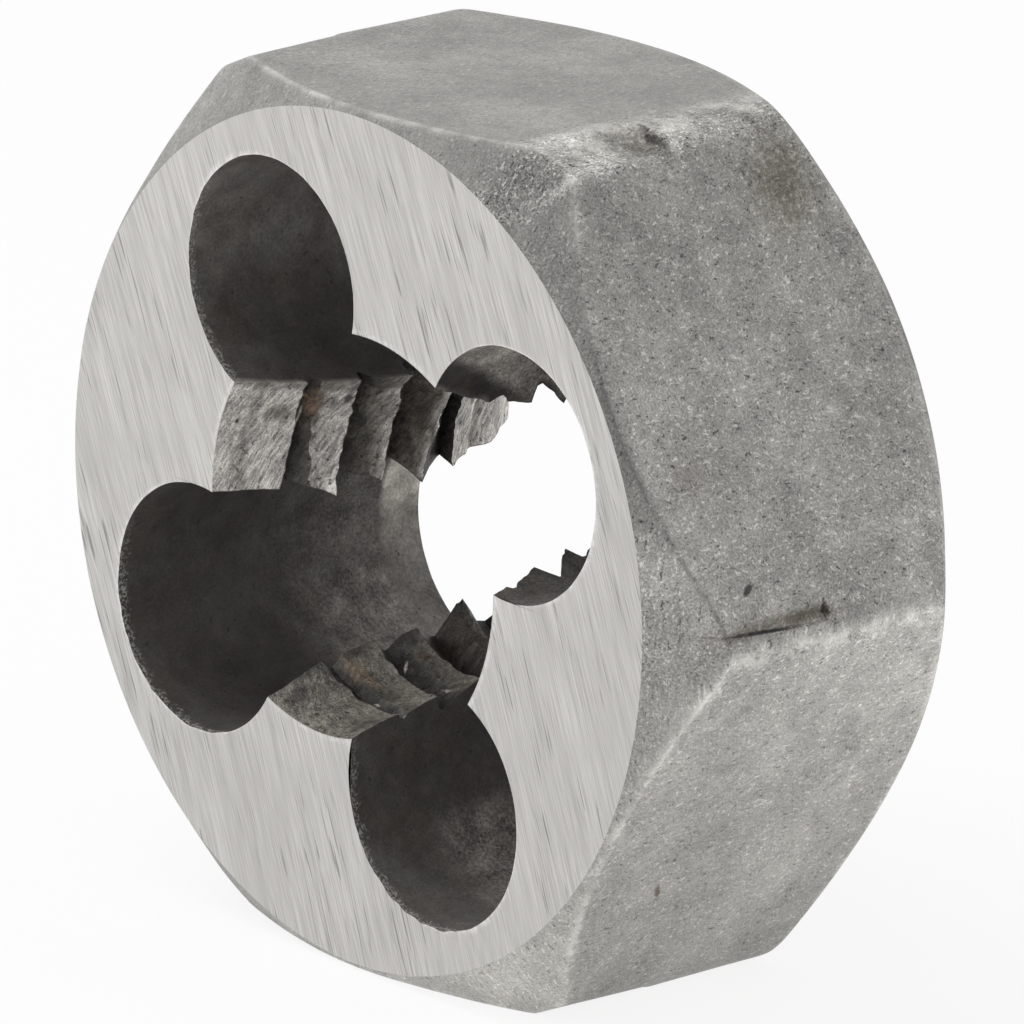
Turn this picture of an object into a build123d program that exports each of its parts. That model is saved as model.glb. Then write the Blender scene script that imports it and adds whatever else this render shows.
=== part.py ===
"""Hex rethreading die: one block of hardened steel, cut from hexagon bar.

The die stands on one of its six flats. Z = 0 is that flat, the thread's axis runs along Y at
half the width across flats, and Y = 0 is halfway through the thickness. The ground face that
starts on the bolt looks towards -Y. Angles are seen from that side: 0 is +X and 90 is +Z.
"""

from build123d import *
import math
import os

# Thread: 9/16 inch, 12 to the inch, 60 degrees, right-handed
thread_major_diameter = 14.2875
thread_pitch = 25.4 / 12
thread_flank_angle = 30.0
thread_root_flat_share = 1 / 8
thread_depth_share = 0.6134
thread_start_angle = -30.0

# Each length of the groove ends inside the holes beside its land, and opens past the crest
groove_arc_share = 0.8
groove_mouth_share = 0.1

# Block
flat_count = 6
thickness = 14.2
rim_wall = 1.6
corner_radius = 2.2
front_face_inset = 0.22
front_chamfer_angle = 40.0
back_face_inset = 0.30
back_chamfer_angle = 42.0

# Clearance holes, which cut the thread into four toothed lands
hole_count = 4
hole_diameter = 9.2
hole_bite = 2.07
hole_start_angle = 27.8

# Mouths of the thread
entry_relief = 0.62
entry_half_angle = 16.0
exit_relief = 0.94
exit_half_angle = 30.0

# Shallow cuts on the corners, from the ground face to a small step.
# Each has the turn of its floor from the corner's own direction, in the order of the corners.
corner_cut_length = 6.5
corner_cut_depth = 0.24
corner_cut_width = 8.0
corner_cut_turns = (17.0, 14.0, -6.0, 10.0, 12.0, -5.0)

# How far a cutting solid reaches past the surface it opens
overshoot = 1.0

# Sizes that follow from the ones above
thread_major_radius = thread_major_diameter / 2
thread_depth = thread_depth_share * thread_pitch
thread_minor_radius = thread_major_radius - thread_depth
hole_radius = hole_diameter / 2
hole_circle_radius = thread_major_radius + hole_radius - hole_bite
apothem = hole_circle_radius + hole_radius + rim_wall
corner_pitch = 360 / flat_count
land_pitch = 360 / hole_count
corner_centre_radius = (apothem - corner_radius) / math.cos(math.radians(corner_pitch / 2))
corner_reach = corner_centre_radius + corner_radius
entry_radius = thread_major_radius + entry_relief
exit_radius = thread_major_radius + exit_relief


def slope(angle):
    """Rise for a run of one, at an angle in degrees."""
    return math.tan(math.radians(angle))


def turned(profile):
    """Solid of revolution about the thread's axis, from points of (radius, height)."""
    return revolve(Plane.XZ * make_face(Polyline(*profile, close=True)), Axis.Z)


def hexagon_block():
    """Hexagon bar with rounded corners, with a ground face at height 0 and its back below."""
    outline = RegularPolygon(radius=apothem, side_count=flat_count, major_radius=False)
    outline = fillet(outline.vertices(), corner_radius)
    return extrude(outline, amount=-thickness)


def chamfer_envelope():
    """Turned shape that both faces' chamfers leave: two cones that meet outside the corners."""
    reach = corner_reach + overshoot
    front_radius = apothem - front_face_inset
    back_radius = apothem - back_face_inset
    front_drop = (reach - front_radius) * slope(front_chamfer_angle)
    back_rise = (reach - back_radius) * slope(back_chamfer_angle)
    return turned([
        (0, 0),
        (front_radius, 0),
        (reach, -front_drop),
        (reach, back_rise - thickness),
        (back_radius, -thickness),
        (0, -thickness),
    ])


def bore():
    """Hole of the thread's minor diameter, with a long tapered entry and a short exit cone."""
    entry_rise = overshoot * slope(entry_half_angle)
    entry_length = (entry_radius - thread_minor_radius) / slope(entry_half_angle)
    exit_drop = overshoot * slope(exit_half_angle)
    exit_length = (exit_radius - thread_minor_radius) / slope(exit_half_angle)
    return turned([
        (0, overshoot),
        (entry_radius + entry_rise, overshoot),
        (thread_minor_radius, -entry_length),
        (thread_minor_radius, exit_length - thickness),
        (exit_radius + exit_drop, -thickness - overshoot),
        (0, -thickness - overshoot),
    ])


def groove_length():
    """One land's length of the thread's groove: a trapezoid carried along a right-handed helix."""
    arc = groove_arc_share * land_pitch
    rise = thread_pitch * arc / 360
    inner_radius = thread_minor_radius - groove_mouth_share * thread_depth
    root_half_width = thread_pitch * thread_root_flat_share / 2
    flank_width = (thread_major_radius - inner_radius) * slope(thread_flank_angle)
    inner_half_width = root_half_width + flank_width
    path = Helix(pitch=thread_pitch, height=rise, radius=thread_minor_radius)
    section = Plane.XZ * make_face(Polyline(
        (inner_radius, -inner_half_width),
        (thread_major_radius, -root_half_width),
        (thread_major_radius, root_half_width),
        (inner_radius, inner_half_width),
        close=True,
    ))
    return Pos(Z=-rise / 2) * Rot(Z=-arc / 2) * sweep(section, path=path, is_frenet=True)


def thread_grooves():
    """Every length of the groove: turn after turn, on each of the lands between the holes."""
    length = groove_length()
    turns_past_ends = 2
    turns = math.ceil(thickness / thread_pitch) + turns_past_ends
    grooves = []
    for i in range(hole_count):
        angle = hole_start_angle + (i + 0.5) * land_pitch
        top_height = thread_pitch * (angle - thread_start_angle) / 360 % thread_pitch
        for turn in range(turns):
            height = top_height - turn * thread_pitch
            grooves.append(Pos(Z=height) * Rot(Z=angle) * length)
    return grooves


def clearance_holes():
    """Through holes that clear the chips, evenly spaced round the thread."""
    height = thickness + 2 * overshoot
    hole = Pos(hole_circle_radius, 0, -thickness / 2) * Cylinder(hole_radius, height)
    return [Rot(Z=hole_start_angle + i * land_pitch) * hole for i in range(hole_count)]


def corner_cuts():
    """Flat-bottomed cuts on the six corners, each from the ground face to its step."""
    block = Box(
        corner_cut_depth + overshoot,
        corner_cut_width,
        corner_cut_length + overshoot,
        align=(Align.MIN, Align.CENTER, Align.MIN),
    )
    cuts = []
    for i, turn in enumerate(corner_cut_turns):
        centre = Vector(corner_centre_radius, 0).rotate(Axis.Z, -turn)
        floor = centre.X + corner_radius - corner_cut_depth
        placed = Pos(floor, centre.Y, -corner_cut_length) * block
        cuts.append(Rot(Z=i * corner_pitch + turn) * placed)
    return cuts


def hex_die():
    """The whole die, turned from its own drawing position to the way it stands."""
    die = hexagon_block() & chamfer_envelope()
    die = die - corner_cuts()
    die = die - bore()
    die = die - clearance_holes()
    die = die - thread_grooves()
    standing = Plane(origin=(0, -thickness / 2, apothem), x_dir=(1, 0, 0), z_dir=(0, -1, 0))
    return standing.location * die


os.makedirs("parts", exist_ok=True)
export_step(hex_die(), "parts/hex_die.step")
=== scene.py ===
"""Hex rethreading die: the looks of one block of hardened steel.

The block is one closed surface. Its entry face is ground bright, its flats and chamfers are
blasted grey, its clearance holes are dark with scale, and its toothed lands are cut and torn.
The greys stored on it and some of its marks also hold painted light and shade.
Sizes are in millimetres and turned into metres as a mesh is written. Angles are in degrees,
seen from the entry face, which looks towards -Y: 0 is +X and 90 is +Z. Depth runs from the
entry face, 0, towards +Y.
"""

import logging
import math
from dataclasses import dataclass, field
from enum import IntEnum
from itertools import product

import bpy
import numpy as np
from mathutils import Matrix, Vector


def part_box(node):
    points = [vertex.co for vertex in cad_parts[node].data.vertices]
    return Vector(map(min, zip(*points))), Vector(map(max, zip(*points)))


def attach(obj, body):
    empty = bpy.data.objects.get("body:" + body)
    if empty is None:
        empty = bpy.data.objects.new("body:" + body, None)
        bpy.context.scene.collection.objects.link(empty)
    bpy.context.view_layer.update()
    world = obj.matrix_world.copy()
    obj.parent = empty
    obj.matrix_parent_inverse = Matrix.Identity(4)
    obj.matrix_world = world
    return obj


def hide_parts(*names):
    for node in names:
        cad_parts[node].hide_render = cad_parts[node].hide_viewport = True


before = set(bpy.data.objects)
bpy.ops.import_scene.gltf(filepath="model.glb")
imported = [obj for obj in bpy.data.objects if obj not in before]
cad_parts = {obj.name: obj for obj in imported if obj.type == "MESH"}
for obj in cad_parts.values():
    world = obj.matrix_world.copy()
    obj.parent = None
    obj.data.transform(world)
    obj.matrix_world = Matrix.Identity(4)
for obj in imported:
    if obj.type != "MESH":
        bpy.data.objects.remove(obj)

log = logging.getLogger("hex_die")

MM = 0.001
THICKNESS = 14.2
APOTHEM = 15.87375
NODE = "hex_die"
BODY = "root"
TABLE_SIZE = 4096
HASH_PRIMES = (73856093, 19349663, 83492791)
GROOVES = 7


class Region(IntEnum):
    """Kinds of surface on the block, in the order of its material slots."""

    GROUND = 0
    BLASTED = 1
    BACK = 2
    SCALE = 3
    CUT = 4


def slope(angle: float) -> float:
    """Rise for a run of one, at an angle in degrees."""
    return math.tan(math.radians(angle))


def smoothstep(low: float, high: float, value: np.ndarray) -> np.ndarray:
    """0 below low, 1 above high, and the cubic 3t^2 - 2t^3 between them.

    Args:
        low: where the rise starts.
        high: where it ends.
        value: what is compared with them.

    Returns:
        The rise at each value.
    """
    part = np.clip((value - low) / (high - low), 0.0, 1.0)
    return part * part * (3.0 - 2.0 * part)


def soft_min(a: np.ndarray, b: np.ndarray, width: float) -> np.ndarray:
    """Smaller of two, rounded where they cross: a quadratic blend over |a - b| < width.

    Args:
        a: first values.
        b: second values.
        width: how far apart they are where the rounding starts.

    Returns:
        The rounded smaller value, a quarter of the width below the crossing.
    """
    share = np.clip(0.5 + 0.5 * (b - a) / width, 0.0, 1.0)
    return b + (a - b) * share - width * share * (1.0 - share)


def turn_between(angle: np.ndarray, other: float) -> np.ndarray:
    """Signed turn from other to angle, from -180 to 180 degrees."""
    return (angle - other + 180.0) % 360.0 - 180.0


def value_noise(points: np.ndarray, cell: float, seed: int) -> np.ndarray:
    """Smooth random field: lattice values, blended by a cubic in each direction.

    Args:
        points: positions, with x, y and z in the last axis.
        cell: size of a lattice cell.
        seed: chooses the field.

    Returns:
        Values from -1 to 1, one for each position.
    """
    table = np.random.default_rng(seed).uniform(-1.0, 1.0, TABLE_SIZE)
    scaled = points / cell
    base = np.floor(scaled).astype(np.int64)
    part = smoothstep(0.0, 1.0, scaled - base)
    total = np.zeros(points.shape[:-1])
    for corner in product((0, 1), repeat=3):
        mixed = np.bitwise_xor.reduce((base + np.array(corner)) * HASH_PRIMES, axis=-1)
        weight = np.where(np.array(corner) == 1, part, 1.0 - part).prod(axis=-1)
        total += table[mixed % TABLE_SIZE] * weight
    return total


Span = tuple[float, float]
Knots = tuple[Span, ...]
Corners = tuple[Span, Span, Span, Span]
Places = tuple[float, float, float, float]


@dataclass(frozen=True)
class Rough:
    """Layer of noise on a wall: its height, the size of its cells and its seed.

    Around and along stretch the cells where they are under one. Lean is how far the noise moves
    along the wall for each step round it.
    """

    height: float
    cell: float
    seed: int
    around: float = 1.0
    along: float = 1.0
    lean: float = 0.0

    def at(self, places: np.ndarray) -> np.ndarray:
        """Values from -1 to 1 at places in space."""
        return value_noise(places, self.cell, self.seed)

    def on_wall(self, arc: np.ndarray, depth: np.ndarray, wall: float) -> np.ndarray:
        """Values from -1 to 1 at places round and along a wall, another field for each wall."""
        along = depth * self.along + arc * self.lean
        return self.at(np.stack([arc * self.around, along, np.full(arc.shape, wall)], -1))


@dataclass(frozen=True)
class Fade:
    """Amount that comes in over spans of turn and of depth, or goes out over a span given backwards.

    Lean is how far the spans of turn move for each millimetre of depth.
    """

    amount: float
    turns: tuple[Span, ...] = ()
    depths: tuple[Span, ...] = ()
    lean: float = 0.0

    def at(self, turn: np.ndarray, depth: np.ndarray) -> np.ndarray:
        """Amount at each point: the whole amount times a smoothstep for each span."""
        amount = np.full(turn.shape, self.amount)
        for low, high in self.turns:
            amount = amount * smoothstep(low, high, turn - self.lean * depth)
        for low, high in self.depths:
            amount = amount * smoothstep(low, high, depth)
        return amount


Fades = tuple[Fade, ...]


@dataclass(frozen=True)
class HoleLook:
    """Looks of a hole's wall, each a sum of fades over the turn about its centre and the depth.

    They are its grey, which holds painted light and shade beside the scale's own grey, how
    strongly it is mottled, and how granular its rim is at the entry face.
    """

    tone: Fades
    grit: Fades = (Fade(1.0),)
    lip: Fades = (Fade(0.0),)


HOLE_LOOKS = (
    HoleLook(
        tone=(
            Fade(0.26),
            # Painted light on the half of the wall past turn 0, a little less deeper in, and painted shade
            # by the land after the hole, beyond a turn that grows with depth.
            Fade(0.23, turns=((0.0, 0.001),)),
            Fade(-0.36, turns=((97.0, 106.0),), lean=9.0),
            Fade(-0.04, turns=((0.0, 0.001),), depths=((3.8, 6.0),)),
        ),
        grit=(Fade(1.9),),
    ),
    HoleLook(
        tone=(
            Fade(0.325),
            Fade(-0.10, turns=((55.0, 100.0),)),
            Fade(0.03, depths=((6.0, 12.0),)),
        ),
        lip=(Fade(1.0, turns=((10.0, 40.0),)),),
    ),
    HoleLook(
        tone=(
            Fade(0.20),
            # Painted light: lighter towards the back face, where light comes in through the bore, most in a
            # band from 12.2 to 12.5 mm on the side of the land before the hole. It is also lighter towards
            # the land after the hole between 6.5 and 10.5 mm deep.
            Fade(0.05, depths=((5.5, 9.5),)),
            Fade(0.035, depths=((10.0, 12.0),)),
            Fade(0.10, turns=((-8.0, 10.0),), depths=((6.5, 10.5),)),
            Fade(0.14, turns=((10.0, -20.0),), depths=((12.2, 12.5),)),
            Fade(0.24, turns=((10.0, -20.0), (-24.0, -42.0)), depths=((12.2, 12.5),)),
        ),
        grit=(Fade(1.0), Fade(1.2, depths=((6.0, 10.0),)), Fade(-1.0, depths=((12.1, 12.5),))),
        lip=(Fade(1.0, turns=((-70.0, -25.0), (110.0, 75.0))),),
    ),
    HoleLook(
        tone=(
            Fade(0.225),
            Fade(0.03, turns=((-90.0, -60.0),)),
            Fade(0.17, turns=((-98.0, -80.0),), depths=((2.2, 5.2),)),
        ),
        grit=(Fade(1.0), Fade(1.4, turns=((-98.0, -80.0),), depths=((2.2, 5.2),))),
        lip=(Fade(1.0, turns=((-140.0, -125.0), (5.0, -20.0))),),
    ),
)


@dataclass(frozen=True)
class Edge:
    """Profile of a land along one of its edges.

    The entry cone has a radius at the entry face and an angle. The drift is how far the grooves
    lie behind their place on the helix. A worn groove is listed by its number with its four
    corners, each a depth and a radius: the back of the tooth before it, the two edges of its
    root, and the front of the tooth after it.
    """

    entry: float
    entry_angle: float
    drift: float = 0.0
    worn: tuple[tuple[int, Corners], ...] = ()


@dataclass(frozen=True)
class Lump:
    """Soft rise on a land, or hollow where it is negative: its middle, half widths and height."""

    angle: float
    depth: float
    wide: float
    long: float
    rise: float

    def lift(self, angle: np.ndarray, depth: np.ndarray) -> np.ndarray:
        """Rise towards the thread's axis at each point: a bell round the middle."""
        turn = turn_between(angle, self.angle)
        return self.rise * np.exp(-(turn / self.wide) ** 2 - ((depth - self.depth) / self.long) ** 2)


@dataclass(frozen=True)
class Land:
    """One toothed land between two clearance holes.

    Its heel is the edge at the smaller angle and its lead, which cuts, the other one. First is
    the turn of the helix of its groove 0. The tones are greys, for the eight crests from face to
    face and for the seven grooves between them; they hold painted light and shade, the grooves
    dark for the shade in them. A crest's start is how light it is at its front against its back,
    a painted shading across it. Bow is how far the crests' back edges lie deeper in the land's
    middle than a straight line between its edges.
    """

    middle: float
    first: int
    heel: Edge
    lead: Edge
    crests: tuple[float, ...]
    grooves: tuple[float, ...]
    starts: tuple[float, ...]
    lumps: tuple[Lump, ...] = ()
    bow: float = 0.0
    half_span: float = 17.0
    past: float = 0.35

    def share(self, angle: np.ndarray) -> np.ndarray:
        """How far each direction lies from the heel, 0, to the lead, 1, and a little past them."""
        turn = turn_between(angle, self.middle)
        return np.clip((turn + self.half_span) / (2 * self.half_span), -self.past, 1.0 + self.past)


@dataclass(frozen=True)
class Thread:
    """Right-hand internal thread, with the cones at its two mouths.

    The ends of a groove's flanks are looked for over the search's reach from its centre, in its
    number of steps. Blank holds the corners of a groove that leaves no mark, which keeps the
    blank inset from the faces. Bowed is the share of its land's bow that each corner takes.
    """

    major_radius: float = 7.14375
    pitch: float = 25.4 / 12
    depth: float = 0.6134 * 25.4 / 12
    root_half: float = 25.4 / 12 / 16
    flank: float = slope(60.0)
    start_angle: float = -30.0
    exit_radius: float = 8.084
    exit_slope: float = slope(30.0)
    search: tuple[float, int] = (1.3, 521)
    blank_inset: float = 0.9
    blank: Places = (-0.35, -0.12, 0.12, 0.35)
    bowed: Places = (1.0, 0.5, 0.5, 0.0)

    @property
    def minor_radius(self) -> float:
        """Radius of the tooth crests."""
        return self.major_radius - self.depth

    def mouth(self, edge: Edge, depth: np.ndarray, thickness: float) -> np.ndarray:
        """Radius before the grooves are cut: the crests, or a cone where that is wider."""
        entry = edge.entry - slope(edge.entry_angle) * depth
        leave = self.exit_radius - self.exit_slope * (thickness - depth)
        return np.maximum(self.minor_radius, np.maximum(entry, leave))

    def profile(self, land: Land, lead: bool, thickness: float) -> np.ndarray:
        """Corners of a land's profile along one edge, from face to face.

        Each of the seven grooves has four corners. Its flanks start at its root's edges and end
        where they meet the mouth, which is looked for in small steps on both sides. A groove
        that lies wholly in a cone leaves no mark, and its corners lie blank on the cone. The
        bow moves the corners of the five grooves in the middle.

        Args:
            land: which land.
            lead: whether the edge is the land's lead, or its heel.
            thickness: of the block.

        Returns:
            Thirty rows of depth, radius and the share of the land's bow that moves the corner.
        """
        edge = land.lead if lead else land.heel
        angle = land.middle + (land.half_span if lead else -land.half_span)
        steps = np.linspace(0.0, *self.search)
        flank = self.major_radius - self.flank * np.maximum(0.0, steps - self.root_half)
        corners = [(0.0, edge.entry)]
        worn = dict(edge.worn)
        for number in range(GROOVES):
            if number in worn:
                corners.extend(worn[number])
                continue
            turns = land.first + number - (angle - self.start_angle) / 360.0
            centre = self.pitch * turns + edge.drift
            widths = []
            for side in (-1.0, 1.0):
                open_there = self.mouth(edge, centre + side * steps, thickness) < flank
                widths.append(steps[np.argmin(open_there)])
            if min(widths) <= self.root_half:
                centre = min(max(centre, self.blank_inset), thickness - self.blank_inset)
                places = centre + np.array(self.blank)
                radii = self.mouth(edge, places, thickness)
            else:
                places = centre + np.array([-widths[0], -self.root_half, self.root_half, widths[1]])
                radii = self.mouth(edge, places, thickness)
                radii[1:3] = self.major_radius
            corners.extend(zip(places, radii))
        corners.append((thickness, self.exit_radius))
        level = (0.0,) * len(self.bowed)
        bows = (0.0, *level, *self.bowed * (GROOVES - 2), *level, 0.0)
        return np.column_stack([np.array(corners), bows])


@dataclass(frozen=True)
class Scoop:
    """Deeper hollow within a corner cut, which starts behind the entry face and ends at the step.

    It lies between a low and a high angle from the corner, each given at its front and at the
    step. Peak is where between them it is deepest, and depth its depth there at the step.
    """

    low: tuple[float, float]
    high: tuple[float, float]
    peak: float
    depth: float
    front: float = 1.9

    def lowering(self, turn: np.ndarray, depth: np.ndarray, length: float) -> np.ndarray:
        """Depth of the hollow at each point: two parabolas that meet at its peak.

        Args:
            turn: angle from the corner.
            depth: distance from the entry face.
            length: where the step is.

        Returns:
            How much lower the surface is.
        """
        share = np.clip((depth - self.front) / (length - self.front), 0.0, 1.0)
        low = self.low[0] + (self.low[1] - self.low[0]) * share
        high = self.high[0] + (self.high[1] - self.high[0]) * share
        place = (turn - low) / (high - low)
        side = np.minimum(place / self.peak, (1.0 - place) / (1.0 - self.peak))
        side = np.clip(side, 0.0, 1.0)
        return self.depth * share * side * (2.0 - side)


@dataclass(frozen=True)
class CornerCut:
    """Shallow cut on one corner, from the entry face to a small step.

    The floor is a plane whose normal is turned from the corner's own direction, and taper the
    share of its depth that it loses on its way to the step. The step lies behind its length by
    the shift, and bows away from the face by the bulge; before it the floor rises over the
    fade. Wall, where there is one, holds the angles from the corner, at its front and at the
    step, below which a steep side wall leaves the corner uncut.
    """

    corner: float
    turn: float
    length: float = 6.5
    depth: float = 0.24
    taper: float = 0.0
    bulge: float = 0.0
    shift: float = 0.0
    fade: float = 0.0
    wall: tuple[float, float] | None = None
    scoop: Scoop | None = None
    shift_width: float = 9.0
    bulge_middle: float = 1.4
    bulge_width: float = 2.0

    def wall_at(self, depth: np.ndarray) -> np.ndarray:
        """Angle of the side wall at each depth."""
        share = np.clip(depth / self.length, 0.0, 1.0)
        return self.wall[0] + (self.wall[1] - self.wall[0]) * share

    def behind(self, turn: np.ndarray) -> np.ndarray:
        """How far the step lies behind its length: a wide bell and a narrow one."""
        wide = self.shift * np.exp(-(turn / self.shift_width) ** 2)
        return wide + self.bulge * np.exp(-((turn - self.bulge_middle) / self.bulge_width) ** 2)


# Greys of the lands out of view: grooves painted darker for their shade, and each crest's front darker as
# painted shading.
HIDDEN_CRESTS = (0.46, 0.44, 0.40, 0.38, 0.36, 0.36, 0.40, 0.44)
HIDDEN_GROOVES = (0.44, 0.26, 0.24, 0.24, 0.24, 0.28, 0.40)
HIDDEN_STARTS = (0.85,) * 8

LANDS = (
    Land(
        middle=72.8, first=1,
        heel=Edge(8.15, 24.0, -0.5, worn=(
            (1, ((2.9, 6.93), (3.2, 7.08), (3.5, 7.08), (3.75, 6.8))),
            (2, ((4.88, 6.52), (5.05, 7.15), (5.25, 7.2), (5.95, 6.6))),
            (3, ((6.45, 6.24), (7.1, 7.1), (7.3, 7.1), (8.0, 5.95))),
        )),
        lead=Edge(7.7, 17.0, -0.3),
        crests=HIDDEN_CRESTS, grooves=HIDDEN_GROOVES, starts=HIDDEN_STARTS,
    ),
    Land(
        middle=162.8, first=1, bow=0.28,
        heel=Edge(7.85, 18.8, worn=(
            (1, ((2.62, 6.96), (2.85, 7.16), (3.0, 7.16), (3.25, 6.8))),
            (2, ((4.62, 6.37), (4.88, 6.9), (5.0, 6.9), (5.4, 6.35))),
            (3, ((6.53, 5.95), (7.05, 6.95), (7.25, 7.0), (8.85, 5.93))),
            (4, ((9.08, 5.93), (9.6, 6.95), (9.8, 7.0), (10.45, 6.4))),
            (5, ((11.3, 6.75), (11.5, 6.95), (11.65, 6.95), (11.9, 6.85))),
            (6, ((12.6, 7.05), (12.8, 7.15), (13.0, 7.28), (13.2, 7.42))),
        )),
        lead=Edge(7.76, 16.8, worn=(
            (1, ((2.56, 7.0), (2.95, 7.42), (3.15, 7.42), (3.75, 6.75))),
            (2, ((4.45, 6.22), (5.25, 7.2), (5.5, 7.2), (6.35, 6.6))),
            (3, ((6.72, 6.25), (7.65, 7.3), (7.85, 7.3), (8.28, 6.1))),
            (4, ((8.45, 5.95), (9.7, 6.8), (9.92, 6.9), (10.02, 6.28))),
            (5, ((10.9, 6.6), (11.2, 6.8), (11.4, 6.87), (11.7, 6.85))),
            (6, ((12.4, 6.86), (12.63, 7.0), (12.85, 7.17), (13.06, 7.33))),
        )),
        crests=(0.70, 0.71, 0.68, 0.64, 0.68, 0.66, 0.66, 0.68),
        grooves=(0.70, 0.24, 0.30, 0.36, 0.20, 0.64, 0.66),
        starts=(1.0, 1.0, 0.86, 0.58, 0.62, 0.92, 0.95, 0.95),
        lumps=(Lump(155.5, 2.1, 3.0, 0.7, -0.07), Lump(156.0, 3.25, 5.0, 0.22, 0.12)),
    ),
    Land(
        middle=252.8, first=1,
        heel=Edge(8.3, 27.0, worn=(
            (0, ((0.75, 7.9), (0.95, 7.76), (1.15, 7.66), (1.35, 7.55))),
            (1, ((2.1, 7.2), (2.5, 7.55), (2.7, 7.55), (3.1, 7.05))),
            (2, ((4.45, 6.8), (4.95, 7.4), (5.2, 7.4), (5.75, 6.9))),
            (3, ((6.5, 6.75), (7.2, 7.3), (7.4, 7.35), (8.1, 6.25))),
            (4, ((8.45, 6.15), (9.35, 7.1), (9.8, 7.25), (10.5, 6.72))),
            (5, ((10.72, 6.72), (11.2, 7.1), (11.5, 7.12), (11.9, 6.95))),
        )),
        lead=Edge(7.3, 18.7, -0.3, worn=(
            (1, ((1.95, 6.78), (2.1, 7.0), (2.3, 7.0), (2.5, 6.78))),
            (2, ((3.75, 6.35), (4.05, 7.0), (4.25, 7.05), (4.95, 6.5))),
            (3, ((5.7, 6.1), (6.3, 7.1), (6.5, 7.1), (7.15, 5.95))),
        )),
        crests=(0.38, 0.39, 0.41, 0.38, 0.30, 0.28, 0.30, 0.33),
        grooves=(0.38, 0.23, 0.21, 0.19, 0.20, 0.24, 0.30),
        starts=(0.92, 0.92, 0.80, 0.72, 0.80, 0.9, 0.9, 0.9),
        lumps=(Lump(241.5, 0.6, 3.0, 0.35, -0.10),),
    ),
    Land(
        middle=342.8, first=2,
        heel=Edge(7.764, 16.0, -0.6),
        lead=Edge(7.76, 18.3, -0.85, worn=(
            (0, ((0.82, 7.52), (1.0, 7.68), (1.12, 7.66), (1.45, 7.4))),
            (1, ((2.72, 6.84), (3.1, 7.65), (3.35, 7.62), (4.15, 6.62))),
            (2, ((4.62, 6.40), (4.92, 6.9), (5.1, 6.88), (5.6, 6.55))),
        )),
        crests=HIDDEN_CRESTS, grooves=HIDDEN_GROOVES, starts=HIDDEN_STARTS,
    ),
)


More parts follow.
